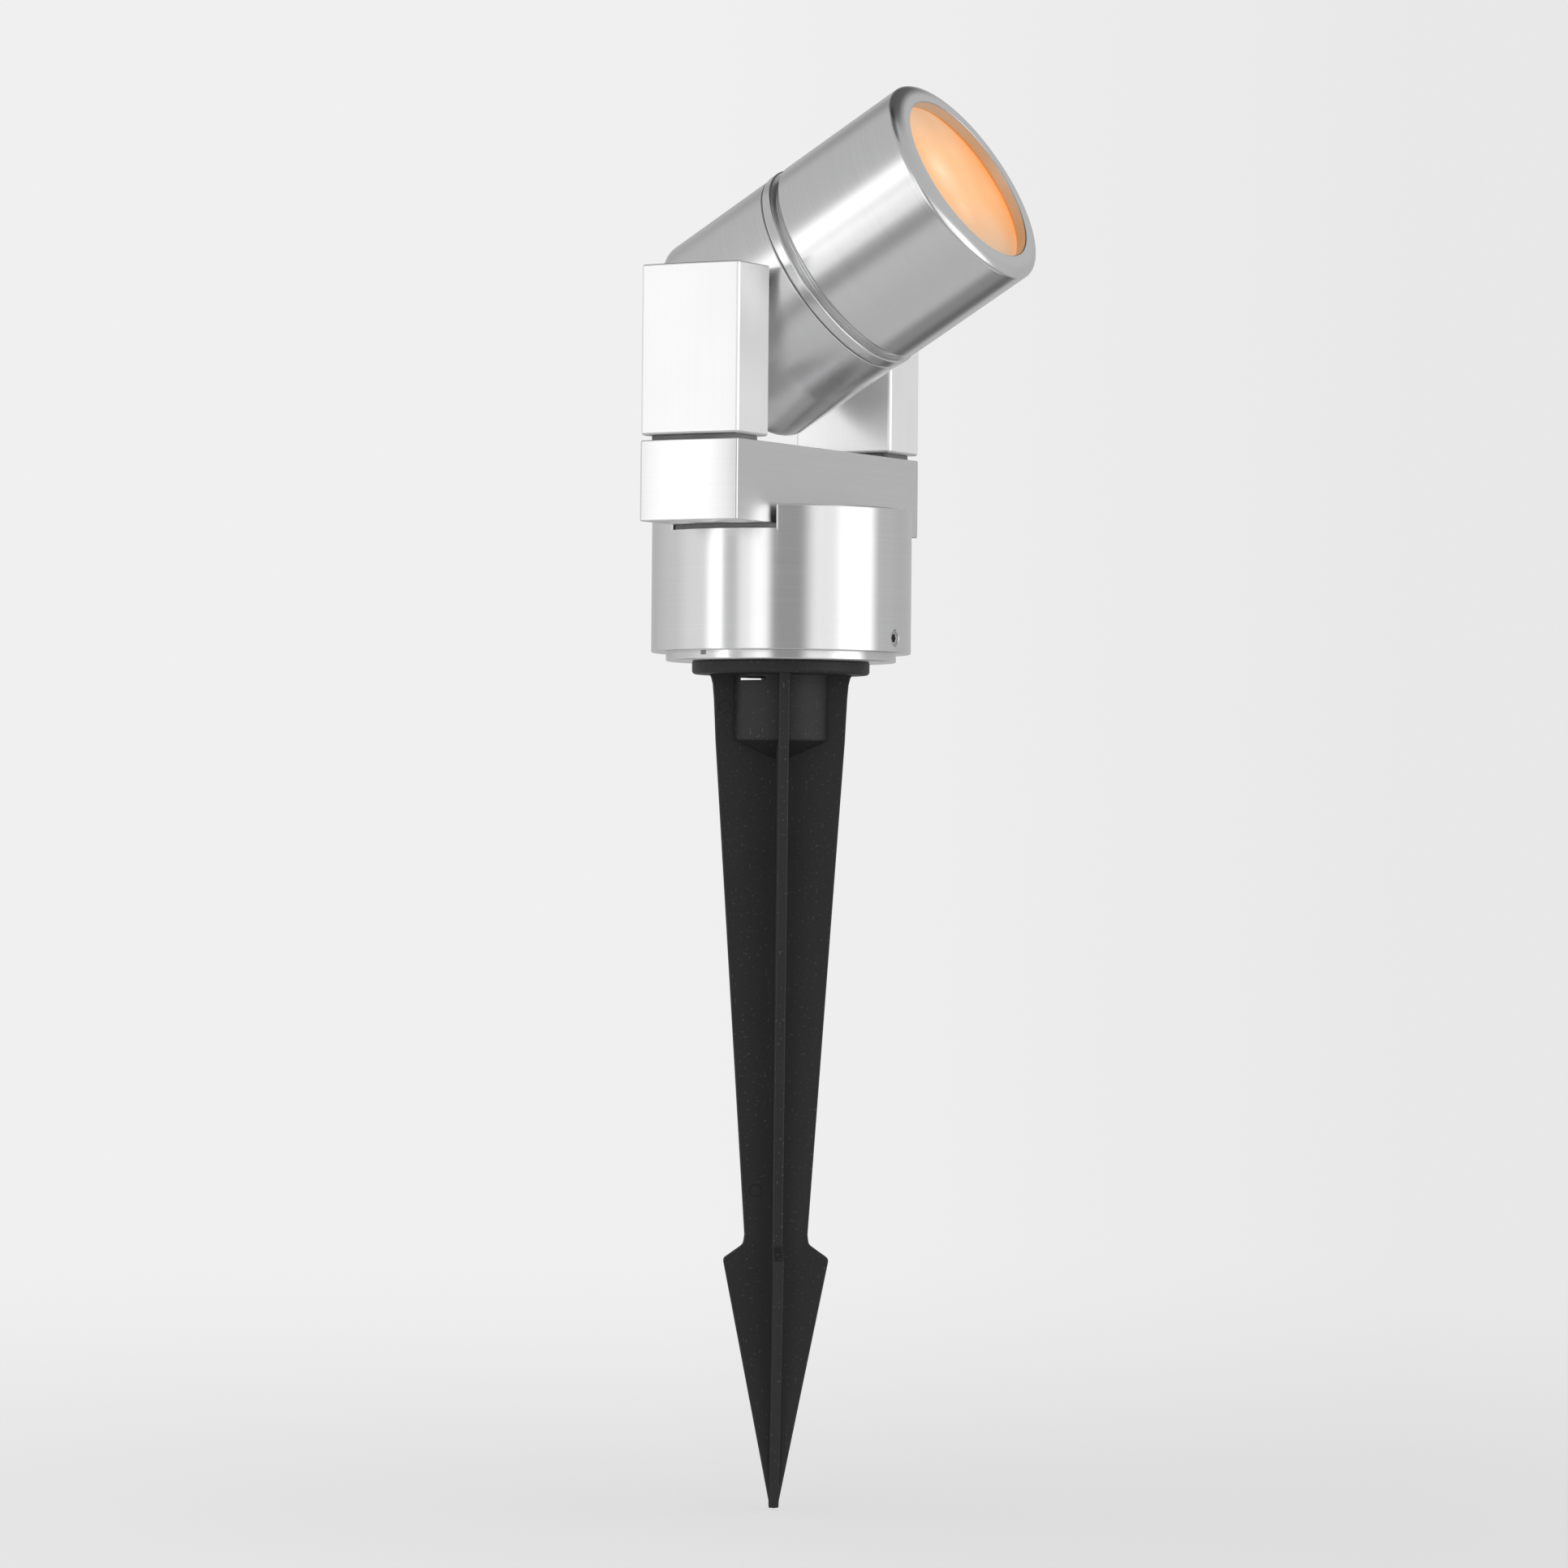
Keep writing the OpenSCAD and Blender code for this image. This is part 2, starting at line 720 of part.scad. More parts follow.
stake();
stake_insert();
stake_screw();
stake_washer();
bottom_plug();
plug_seal();
base_housing();
grub_screws();
gland_body();
gland_nut();
gland_bush();
gland_seal();
terminal_block();
block_screws();
bar_pad();
crossbar();
bar_screws();
channel_plug();
left_upright();
right_upright();
left_pad();
right_pad();
upright_screws();
pivot_bolts();
spring_washers();
friction_washers();
yoke_lead();
rear_housing();
lock_ring();
head_seal();
head_lead();
lamp_holder();
holder_bracket();
bracket_screws();
lamp_reflector();
lamp_pins();
lamp_window();
front_sleeve();
front_lens();
lens_gasket();
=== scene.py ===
"""Looks of the garden spike spotlight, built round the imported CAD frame, in metres."""
import json
import math

import bmesh
import bpy
from mathutils import Matrix, Vector


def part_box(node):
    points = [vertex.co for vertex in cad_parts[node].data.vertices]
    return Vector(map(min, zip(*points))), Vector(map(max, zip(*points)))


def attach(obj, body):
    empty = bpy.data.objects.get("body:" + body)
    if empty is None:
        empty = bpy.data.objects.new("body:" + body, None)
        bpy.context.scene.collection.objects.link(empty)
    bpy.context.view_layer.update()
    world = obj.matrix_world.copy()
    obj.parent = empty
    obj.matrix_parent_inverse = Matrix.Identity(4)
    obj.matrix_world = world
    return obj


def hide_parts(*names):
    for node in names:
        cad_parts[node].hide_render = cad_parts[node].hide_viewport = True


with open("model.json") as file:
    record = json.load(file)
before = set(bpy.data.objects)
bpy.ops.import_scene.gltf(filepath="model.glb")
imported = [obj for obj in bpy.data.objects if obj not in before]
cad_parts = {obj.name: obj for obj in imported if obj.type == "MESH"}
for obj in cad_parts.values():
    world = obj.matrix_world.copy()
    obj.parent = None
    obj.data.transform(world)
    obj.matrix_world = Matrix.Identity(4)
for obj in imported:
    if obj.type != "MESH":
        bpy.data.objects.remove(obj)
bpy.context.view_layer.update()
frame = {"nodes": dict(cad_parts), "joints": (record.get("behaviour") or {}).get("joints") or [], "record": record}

MM = 0.001
# steps round a full turn: the large turned parts, the stake and the glass, middle and small parts
FINE_ROUND, ROUND, MIDDLE_ROUND, SMALL_ROUND = 256, 192, 96, 64
# steps in a rounded corner, unless a piece asks for others
ARC_STEPS = 6
# how far apart two fitted parts run, and the room on each side of a seal in its groove
RUN = 0.05 * MM
SEAL_ROOM = 0.1 * MM
# how far a cutter reaches past the face that it opens
PAST = 1 * MM
# corners closer than this, in metres, are one corner
SAME_POINT = 1e-7
RECORD = frame["record"]
NODES = frame["nodes"]
JOINTS = {joint["name"]: joint for joint in frame["joints"]}
MOUNTS = {mount["name"]: mount for mount in RECORD["mounts"]}

# ---- camera ------------------------------------------------------------------

CAMERA_AZIMUTH = math.radians(-60.45)
CAMERA_ELEVATION = math.radians(-0.49)
CAMERA_ROLL = math.radians(0.50)
CAMERA_DISTANCE = 1.4
LENS_MM = 128.4
SENSOR_MM = 36
CLIP = (0.05, 50)
AIM_RIGHT = 1.06 * MM
AIM_HEIGHT = -27.3 * MM

toward_camera = Vector((
    math.sin(CAMERA_AZIMUTH) * math.cos(CAMERA_ELEVATION),
    -math.cos(CAMERA_AZIMUTH) * math.cos(CAMERA_ELEVATION),
    math.sin(CAMERA_ELEVATION),
))
image_right = Vector((math.cos(CAMERA_AZIMUTH), math.sin(CAMERA_AZIMUTH), 0))


def make_camera():
    data = bpy.data.cameras.new("camera")
    data.lens = LENS_MM
    data.sensor_width = SENSOR_MM
    data.clip_start, data.clip_end = CLIP
    camera = bpy.data.objects.new("camera", data)
    bpy.context.scene.collection.objects.link(camera)
    image_up = toward_camera.cross(image_right)
    right = image_right * math.cos(CAMERA_ROLL) + image_up * math.sin(CAMERA_ROLL)
    up = image_up * math.cos(CAMERA_ROLL) - image_right * math.sin(CAMERA_ROLL)
    aim = image_right * AIM_RIGHT + Vector((0, 0, AIM_HEIGHT))
    turn = Matrix((right, up, toward_camera)).transposed().to_4x4()
    camera.matrix_world = Matrix.Translation(aim + toward_camera * CAMERA_DISTANCE) @ turn
    bpy.context.scene.camera = camera


make_camera()

# ---- mesh helpers ------------------------------------------------------------


def arc_points(centre, start, end, steps):
    """Points round centre from start to end, both at the same distance from it."""
    first = math.atan2(start.y - centre.y, start.x - centre.x)
    last = math.atan2(end.y - centre.y, end.x - centre.x)
    sweep = (last - first + math.pi) % (2 * math.pi) - math.pi
    radius = (start - centre).length
    angles = [first + sweep * k / steps for k in range(steps + 1)]
    return [centre + radius * Vector((math.cos(a), math.sin(a))) for a in angles]


def rounded(corners, steps=ARC_STEPS):
    """Outline through the corners (x, y, radius), each corner turned into an arc."""
    outline = []
    for i, (x, y, radius) in enumerate(corners):
        corner = Vector((x, y))
        if radius <= 0:
            outline.append(corner)
            continue
        back = (Vector(corners[i - 1][:2]) - corner).normalized()
        ahead = (Vector(corners[(i + 1) % len(corners)][:2]) - corner).normalized()
        half = back.angle(ahead) / 2
        reach = radius / math.tan(half)
        centre = corner + (back + ahead).normalized() * radius / math.sin(half)
        outline += arc_points(centre, corner + back * reach, corner + ahead * reach, steps)
    return outline


def inset(outline, distance):
    """The outline, given anticlockwise, moved inwards by distance."""
    moved = []
    for i, point in enumerate(outline):
        before = (point - outline[i - 1]).normalized()
        after = (outline[(i + 1) % len(outline)] - point).normalized()
        n0, n1 = Vector((-before.y, before.x)), Vector((-after.y, after.x))
        moved.append(point + (n0 + n1) * distance / (1 + n0.dot(n1)))
    return moved


def tidy(mesh):
    """Joins doubled corners and turns all faces outwards."""
    edit = bmesh.new()
    edit.from_mesh(mesh)
    bmesh.ops.remove_doubles(edit, verts=edit.verts, dist=SAME_POINT)
    bmesh.ops.dissolve_degenerate(edit, edges=edit.edges, dist=SAME_POINT)
    bmesh.ops.recalc_face_normals(edit, faces=edit.faces)
    edit.to_mesh(mesh)
    edit.free()


def new_object(name, vertices, faces):
    mesh = bpy.data.meshes.new(name)
    mesh.from_pydata([tuple(v) for v in vertices], [], faces)
    tidy(mesh)
    piece = bpy.data.objects.new(name, mesh)
    bpy.context.scene.collection.objects.link(piece)
    return piece


def lathe(name, profile, segments=ROUND):
    """Solid turned about local Z from a closed profile of (radius, height) points."""
    rows = len(profile)
    vertices = []
    for i in range(segments):
        turn = 2 * math.pi * i / segments
        vertices += [(r * math.cos(turn), r * math.sin(turn), z) for r, z in profile]
    faces = []
    for i in range(segments):
        here, there = i * rows, (i + 1) % segments * rows
        for k in range(rows):
            after = (k + 1) % rows
            if profile[k][0] > 0 or profile[after][0] > 0:
                faces.append((here + k, there + k, there + after, here + after))
    return new_object(name, vertices, faces)


def prism(name, outline, z0, z1, edge0=0, edge1=0, steps=4):
    """Extruded outline with rounded edges at its foot, edge0, and its top, edge1."""
    rings = []
    for k in range(steps + 1) if edge0 > 0 else [steps]:
        turn = math.pi / 2 * k / steps
        rings.append((z0 + edge0 * (1 - math.cos(turn)), edge0 * (1 - math.sin(turn))))
    for k in range(steps + 1) if edge1 > 0 else [0]:
        turn = math.pi / 2 * k / steps
        rings.append((z1 - edge1 * (1 - math.sin(turn)), edge1 * (1 - math.cos(turn))))
    count = len(outline)
    vertices, faces = [], []
    for z, distance in rings:
        vertices += [(p.x, p.y, z) for p in inset(outline, distance)]
    for ring in range(len(rings) - 1):
        for i in range(count):
            j = (i + 1) % count
            low, top = ring * count, (ring + 1) * count
            faces.append((low + i, low + j, top + j, top + i))
    faces.append(tuple(range(count))[::-1])
    faces.append(tuple(range(len(vertices) - count, len(vertices))))
    return new_object(name, vertices, faces)


def rod(radius, z0, z1, segments=SMALL_ROUND):
    """Plain cylinder along local Z, used as a cutter or as a boss to be joined."""
    return lathe("rod", [(0, z0), (radius, z0), (radius, z1), (0, z1)], segments)


def slab(x, y, z):
    """Block used as a cutter, from the (low, high) pairs of its three sides."""
    outline = [Vector((x[0], y[0])), Vector((x[1], y[0])), Vector((x[1], y[1])), Vector((x[0], y[1]))]
    return prism("slab", outline, z[0], z[1])


def shaped(piece, tools, operation="DIFFERENCE"):
    """Cuts the tools from the piece, or joins them to it, and removes the tools."""
    for tool in tools:
        step = piece.modifiers.new("shape", "BOOLEAN")
        step.solver = "EXACT"
        step.operation = operation
        step.object = tool
        bpy.context.view_layer.update()
        made = bpy.data.meshes.new_from_object(
            piece.evaluated_get(bpy.context.evaluated_depsgraph_get()))
        piece.modifiers.clear()
        piece.data = made
        bpy.data.objects.remove(tool)
    tidy(piece.data)
    return piece


def moved(piece, matrix):
    piece.data.transform(matrix)
    return piece


def along_x(x=0, y=0, z=0):
    """Turns what is built along Z so that it runs along +X from the point."""
    return Matrix.Translation((x, y, z)) @ Matrix.Rotation(math.pi / 2, 4, "Y")


# ---- head frame --------------------------------------------------------------

pivot = Vector(JOINTS["tilt"]["pos_m"])
head_axis = Vector(JOINTS["sleeve_turn"]["axis"]).normalized()
side_axis = Vector((1, 0, 0))
HEAD = Matrix.Translation(pivot) @ Matrix(
    (side_axis, head_axis.cross(side_axis), head_axis)).transposed().to_4x4()


def axial(node):
    """Back and front of a CAD node along the head's axis from the pivot, and its radius."""
    points = [HEAD.inverted() @ v.co for v in NODES[node].data.vertices]
    heights = [p.z for p in points]
    return min(heights), max(heights), max(math.hypot(p.x, p.y) for p in points)


# ---- materials ---------------------------------------------------------------


class Shader:
    """A new material with its Principled shader, and short calls that add nodes to it."""

    def __init__(self, name):
        self.material = bpy.data.materials.new(name)
        self.material.use_nodes = True
        self.tree = self.material.node_tree
        self.surface = self.tree.nodes["Principled BSDF"]

    def node(self, kind, **settings):
        made = self.tree.nodes.new(kind)
        for key, value in settings.items():
            setattr(made, key, value)
        return made

    def link(self, source, target):
        self.tree.links.new(source, target)

    def set(self, **values):
        for key, value in values.items():
            self.surface.inputs[key.replace("_", " ")].default_value = value

    def math(self, operation, a, b=None):
        made = self.node("ShaderNodeMath", operation=operation)
        for socket, value in zip(made.inputs, (a, b)):
            if isinstance(value, (int, float)):
                socket.default_value = value
            elif value is not None:
                self.link(value, socket)
        return made.outputs[0]

    def place(self):
        return self.node("ShaderNodeTexCoord").outputs["Object"]

    def stretched(self, x, y, z):
        """Object coordinates times these frequencies, in cycles per metre."""
        made = self.node("ShaderNodeMapping")
        made.inputs["Scale"].default_value = (x, y, z)
        self.link(self.place(), made.inputs["Vector"])
        return made.outputs[0]

    def turned(self, round_way, across):
        """Coordinates that change slowly round local Z and fast along it and outwards."""
        split = self.node("ShaderNodeSeparateXYZ")
        self.link(self.place(), split.inputs[0])
        x, y, z = split.outputs
        squares = self.math("ADD", self.math("MULTIPLY", x, x), self.math("MULTIPLY", y, y))
        reach = self.math("ADD", self.math("SQRT", squares), z)
        joined = self.node("ShaderNodeCombineXYZ")
        self.link(self.math("MULTIPLY", x, round_way), joined.inputs[0])
        self.link(self.math("MULTIPLY", y, round_way), joined.inputs[1])
        self.link(self.math("MULTIPLY", reach, across), joined.inputs[2])
        return joined.outputs[0]

    def noise(self, vector, scale=1.0, detail=3.0):
        made = self.node("ShaderNodeTexNoise")
        made.inputs["Scale"].default_value = scale
        made.inputs["Detail"].default_value = detail
        self.link(vector, made.inputs["Vector"])
        return made.outputs["Fac"]

    def grain(self, frequency, detail):
        """Noise of the same frequency all ways, in cycles per metre."""
        return self.noise(self.stretched(frequency, frequency, frequency), detail=detail)

    def mixed(self, a, share, b):
        """The share of a and the rest of b."""
        return self.math("ADD", self.math("MULTIPLY", a, share), self.math("MULTIPLY", b, 1 - share))

    def spread(self, value, low, high, start=0.3, stop=0.7):
        """The value's stretch from start to stop mapped to low to high, and held outside it."""
        made = self.node("ShaderNodeMapRange")
        for key, number in (("From Min", start), ("From Max", stop), ("To Min", low), ("To Max", high)):
            made.inputs[key].default_value = number
        self.link(value, made.inputs["Value"])
        return made.outputs[0]

    def blend(self, factor, low, high):
        """Colour between low and high by factor; either may be a socket."""
        made = self.node("ShaderNodeMix", data_type="RGBA")
        self.link(factor, made.inputs["Factor"])
        colours = [socket for socket in made.inputs if socket.type == "RGBA"]
        for socket, value in zip(colours, (low, high)):
            if isinstance(value, tuple):
                socket.default_value = (*value, 1)
            else:
                self.link(value, socket)
        return next(socket for socket in made.outputs if socket.type == "RGBA")

    def worn_edge(self, start=0.52, stop=0.60):
        """0 on faces, up to 1 on outward edges."""
        pointiness = self.node("ShaderNodeNewGeometry").outputs["Pointiness"]
        return self.spread(pointiness, 0, 1, start, stop)

    def bump(self, height, strength, depth):
        made = self.node("ShaderNodeBump")
        made.inputs["Strength"].default_value = strength
        made.inputs["Distance"].default_value = depth
        self.link(height, made.inputs["Height"])
        self.link(made.outputs[0], self.surface.inputs["Normal"])

    def brushed_highlight(self, amount, uv_map=None):
        """Highlights spread across the brushing, which runs round local Z or along the map's U."""
        made = self.node("ShaderNodeTangent", direction_type="UV_MAP" if uv_map else "RADIAL", axis="Z")
        if uv_map:
            made.uv_map = uv_map
        self.link(made.outputs[0], self.surface.inputs["Tangent"])
        self.set(Anisotropic=amount, Anisotropic_Rotation=0.25)


# cycles per metre across the brushed lines and along them
GRAIN = 5200
STREAK = 45
CLOUDS = 70
BRUSH_MAP = "brushing"
BARE_EDGE = (0.96, 0.96, 0.96)
FINE_DEPTH = 0.01 * MM


def aluminium(name, coordinates, tint, roughness, spread, uv_map=None, lines_shown=1.0):
    """Satin aluminium: fine lines along the brushing, cloudy roughness, lighter edges."""
    shader = Shader(name)
    vector = coordinates(shader)
    lines = shader.noise(vector)
    broad = shader.noise(vector, scale=0.22, detail=2)
    tone = shader.mixed(lines, 0.65, broad)
    darker, lighter, deeper = 0.030 * lines_shown, 0.025 * lines_shown, 0.12 * lines_shown
    dark = tuple(c * (1 - darker) for c in tint)
    light = tuple(min(1, c * (1 + lighter)) for c in tint)
    colour = shader.blend(shader.spread(tone, 0, 1), dark, light)
    edge = shader.math("MULTIPLY", shader.worn_edge(), 0.1)
    shader.link(shader.blend(edge, colour, BARE_EDGE), shader.surface.inputs["Base Color"])
    uneven = shader.mixed(tone, 0.6, shader.grain(CLOUDS, 2))
    rough = shader.spread(uneven, roughness - 0.02, roughness + 0.03)
    shader.link(rough, shader.surface.inputs["Roughness"])
    shader.bump(tone, deeper, FINE_DEPTH)
    shader.set(Metallic=1.0)
    shader.brushed_highlight(spread, uv_map)
    return shader.material


def turned_aluminium(name, tint, roughness, spread):
    return aluminium(name, lambda s: s.turned(STREAK, GRAIN), tint, roughness, spread)


def moulded(name, tint, roughness, grain, depth, specks=0.0, specular=0.5):
    """Matt moulded plastic or rubber with a fine grain and scuffed edges."""
    shader = Shader(name)
    fine = shader.grain(grain, 4)
    clouds = shader.grain(55, 3)
    dark = tuple(c * 0.8 for c in tint)
    light = tuple(c * 1.25 for c in tint)
    colour = shader.blend(shader.spread(clouds, 0, 1), dark, light)
    if specks:
        dust = shader.grain(grain * 0.6, 0)
        pale = tuple(c + 0.08 for c in tint)
        colour = shader.blend(shader.spread(dust, 0, specks, 0.72, 0.80), colour, pale)
    edge = shader.math("MULTIPLY", shader.worn_edge(0.52, 0.62), 0.25)
    worn = tuple(c * 1.8 + 0.01 for c in tint)
    shader.link(shader.blend(edge, colour, worn), shader.surface.inputs["Base Color"])
    uneven = shader.mixed(fine, 0.5, clouds)
    rough = shader.spread(uneven, roughness - 0.08, roughness + 0.08)
    shader.link(rough, shader.surface.inputs["Roughness"])
    shader.bump(fine, 0.5, depth)
    shader.set(Specular_IOR_Level=specular)
    return shader.material


def plated(name, tint, roughness):
    """Plated or bare metal of small fasteners, slightly cloudy."""
    shader = Shader(name)
    clouds = shader.grain(420, 3)
    dark = tuple(c * 0.82 for c in tint)
    colour = shader.blend(shader.spread(clouds, 0, 1), dark, tint)
    shader.link(colour, shader.surface.inputs["Base Color"])
    rough = shader.spread(clouds, roughness - 0.06, roughness + 0.08)
    shader.link(rough, shader.surface.inputs["Roughness"])
    shader.bump(shader.grain(4200, 2), 0.2, FINE_DEPTH)
    shader.set(Metallic=1.0)
    return shader.material


# the round outer faces rendered in ragged patches at a roughness of 0.26 and 0.27, and do not at 0.24
ALUMINIUM = (0.80, 0.80, 0.805)
turned = turned_aluminium("turned_aluminium", ALUMINIUM, 0.24, 0.85)
turned_head = turned_aluminium("turned_head", ALUMINIUM, 0.21, 0.55)
turned_rear = turned_aluminium("turned_rear", ALUMINIUM, 0.24, 0.55)
turned_bore = turned_aluminium("turned_bore", (0.60, 0.63, 0.65), 0.34, 0.3)
turned_ring = turned_aluminium("turned_ring", (0.78, 0.78, 0.785), 0.20, 0.6)
# painted light: the uprights are the same aluminium as the bar and the turned parts, but with a pure white tint so
# that their faces come out as brightly lit
upright_brightened_finish = aluminium(
    "upright_aluminium_brightened", lambda s: s.stretched(GRAIN, GRAIN, STREAK), (1.0, 1.0, 1.0), 0.36, 0.8,
    BRUSH_MAP, 1.3)
bar_finish = aluminium(
    "bar_aluminium", lambda s: s.stretched(STREAK, STREAK, GRAIN), (0.83, 0.83, 0.835), 0.30, 0.75,
    BRUSH_MAP)
stake_plastic = moulded("stake_plastic", (0.012, 0.012, 0.013), 0.55, 2400, 0.03 * MM, specks=0.5)
gland_plastic = moulded("gland_plastic", (0.014, 0.014, 0.015), 0.42, 3000, 0.02 * MM)
rubber = moulded("rubber", (0.03, 0.03, 0.03), 0.7, 3500, 0.02 * MM, specular=0.35)
pad_rubber = moulded("pad_rubber", (0.24, 0.24, 0.24), 0.75, 3000, 0.03 * MM, specks=0.6, specular=0.3)
sleeving = moulded("lead_sleeving", (0.70, 0.68, 0.62), 0.5, 2600, 0.02 * MM)
ceramic = moulded("ceramic", (0.80, 0.78, 0.72), 0.45, 2600, 0.02 * MM)
lamp_body = moulded("lamp_body", (0.75, 0.74, 0.70), 0.3, 1800, 0.01 * MM)
silicone = moulded("amber_silicone", (0.85, 0.45, 0.18), 0.45, 2600, 0.01 * MM)
steel = plated("steel", (0.62, 0.62, 0.64), 0.3)
brass = plated("brass", (0.83, 0.62, 0.28), 0.28)


def lens_material(radius):
    """Frosted glass lit from behind by a warm lamp: two bright spots, paler ends, an orange rim."""
    shader = Shader("frosted_lens")
    place = shader.place()
    split = shader.node("ShaderNodeSeparateXYZ")
    shader.link(place, split.inputs[0])
    across, along, _ = split.outputs
    flat = shader.node("ShaderNodeVectorMath", operation="MULTIPLY")
    flat.inputs[1].default_value = (1, 1, 0)
    shader.link(place, flat.inputs[0])

    def glow_at(x, y, reach, power):
        """1 at the point, falling to 0 at reach; all three in parts of the radius."""
        gap = shader.node("ShaderNodeVectorMath", operation="DISTANCE")
        gap.inputs[1].default_value = (x * radius, y * radius, 0)
        shader.link(flat.outputs[0], gap.inputs[0])
        return shader.math("POWER", shader.spread(gap.outputs["Value"], 1, 0, 0, reach * radius), power)

    rim = shader.spread(across, 0, 1, 0.3 * radius, radius)
    shifted = shader.math("ABSOLUTE", shader.math("SUBTRACT", along, 0.12 * radius))
    ends = shader.spread(shifted, 0, 1, 0.25 * radius, radius)
    mist = shader.grain(65, 2)
    body = shader.blend(shader.spread(mist, 0, 1), (0.99, 0.46, 0.165), (1.0, 0.54, 0.27))
    faded = shader.blend(shader.math("MULTIPLY", ends, 0.95), body, (0.56, 0.40, 0.27))
    orange = shader.blend(shader.math("MULTIPLY", rim, 0.85), faded, (0.86, 0.33, 0.09))
    hot = shader.blend(glow_at(-0.24, 0.16, 0.36, 1.4), orange, (1.0, 0.72, 0.45))
    second = shader.math("MULTIPLY", glow_at(-0.16, -0.26, 0.26, 1.5), 0.6)
    glow = shader.blend(second, hot, (1.0, 0.66, 0.38))
    shader.link(glow, shader.surface.inputs["Emission Color"])
    frost = shader.grain(GRAIN, 2)
    shader.link(shader.spread(frost, 0.40, 0.55), shader.surface.inputs["Roughness"])
    shader.bump(frost, 0.3, FINE_DEPTH)
    glass = shader.blend(mist, (0.10, 0.07, 0.05), (0.13, 0.09, 0.06))
    shader.link(glass, shader.surface.inputs["Base Color"])
    shader.set(Emission_Strength=0.97, IOR=1.5, Coat_Weight=0.15)
    return shader.material


# ---- finishing a piece -------------------------------------------------------

MOSTLY_END_ON = 0.2
UV_PER_METRE = 10


def brushing_map(piece, direction):
    """UV map whose U runs along the brushing direction on every face it can."""
    layer = piece.data.uv_layers.new(name=BRUSH_MAP)
    for face in piece.data.polygons:
        along = direction - face.normal * direction.dot(face.normal)
        if along.length < MOSTLY_END_ON:
            spare = Vector((1, 0, 0)) if abs(face.normal.x) < 0.8 else Vector((0, 1, 0))
            along = spare - face.normal * spare.dot(face.normal)
        along.normalize()
        across = face.normal.cross(along)
        for loop in face.loop_indices:
            point = piece.data.vertices[piece.data.loops[loop].vertex_index].co
            layer.data[loop].uv = (point.dot(along) * UV_PER_METRE, point.dot(across) * UV_PER_METRE)


def finished(piece, material, body, nodes, sharp=32):
    """Shades the piece, gives it its material, and fixes it to its body."""
    piece.data.materials.clear()
    piece.data.materials.append(material)
    for face in piece.data.polygons:
        face.material_index = 0
        face.use_smooth = True
    piece.data.set_sharp_from_angle(angle=math.radians(sharp))
    weighted = piece.modifiers.new("weighted_normals", "WEIGHTED_NORMAL")
    weighted.keep_sharp = True
    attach(piece, body)
    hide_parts(*nodes)
    return piece


# ---- base --------------------------------------------------------------------

GLAND_THREAD = 5.9 * MM


def half_moons(radius, half_slot, foot, top):
    """The two half-moons that stand beside the channel across the base's top."""
    reach = math.sqrt(radius ** 2 - half_slot ** 2)
    first = math.atan2(half_slot, reach)
    count, corner, top_edge = 96, 0.35 * MM, 0.5 * MM
    # the arc's own end points give way to a small round corner at each end
    turns = [first + (math.pi - 2 * first) * k / count for k in range(1, count)]
    arc = [(radius * math.cos(a), radius * math.sin(a), 0) for a in turns]
    one = rounded([(reach, half_slot, corner)] + arc + [(-reach, half_slot, corner)], 4)
    other = [Vector((-p.x, -p.y)) for p in one]
    return [prism("moon", outline, foot, top, 0, top_edge) for outline in (one, other)]


def make_base():
    low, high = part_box("base_housing")
    plug_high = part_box("bottom_plug")[1]
    pad_low, pad_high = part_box("bar_pad")
    roof, wall, slot_room, overlap, edge = 5 * MM, 6.5 * MM, 0.2 * MM, 0.6 * MM, 0.4 * MM
    radius, floor_z = high.x, pad_low.z
    cavity, bore, roof_z = radius - wall, plug_high.x + RUN, floor_z - roof
    housing = lathe("base_housing_turned", rounded([
        (0, roof_z, 0), (cavity, roof_z, 0), (cavity, plug_high.z, 0), (bore, plug_high.z, 0),
        (bore, low.z, edge * 0.6), (radius, low.z, edge), (radius, floor_z, 0), (0, floor_z, 0),
    ]), FINE_ROUND)
    shaped(housing, half_moons(radius, pad_high.y + slot_room, floor_z - overlap, high.z), "UNION")

    grub_low, grub_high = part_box("grub_screws")
    grub_z, grub_radius = (grub_low.z + grub_high.z) / 2, (grub_high.z - grub_low.z) / 2
    # the screws' holes open in a small cone, half of which reaches past the surface
    cone = 0.5 * MM
    mouth = [(0, 0), (grub_radius, 0), (grub_radius + cone, cone), (0, cone)]
    cutters = []
    for side in (1, -1):
        outwards = Matrix.Rotation(math.pi / 2 * side, 4, "X")
        bore_start = Matrix.Translation((0, -side * cavity, grub_z))
        cutters.append(moved(rod(grub_radius, 0, radius), bore_start @ outwards))
        mouth_start = Matrix.Translation((0, -side * (radius - cone / 2), grub_z))
        cutters.append(moved(lathe("mouth", mouth, SMALL_ROUND), mouth_start @ outwards))

    # flat seat for the gland, and the hole for its thread
    gland_z = MOUNTS["cable_entry"]["pos_m"][2]
    seat_radius, seat_reach, thread_reach = 8.6 * MM, 10 * MM, 12 * MM
    seat = rod(seat_radius, 0, seat_reach, MIDDLE_ROUND)
    cutters.append(moved(seat, along_x(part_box("gland_seal")[0].x, 0, gland_z)))
    thread = rod(GLAND_THREAD, 0, thread_reach, MIDDLE_ROUND)
    cutters.append(moved(thread, along_x(cavity - PAST, 0, gland_z)))
    shaped(housing, cutters)
    finished(housing, turned, "base", ["base_housing"])


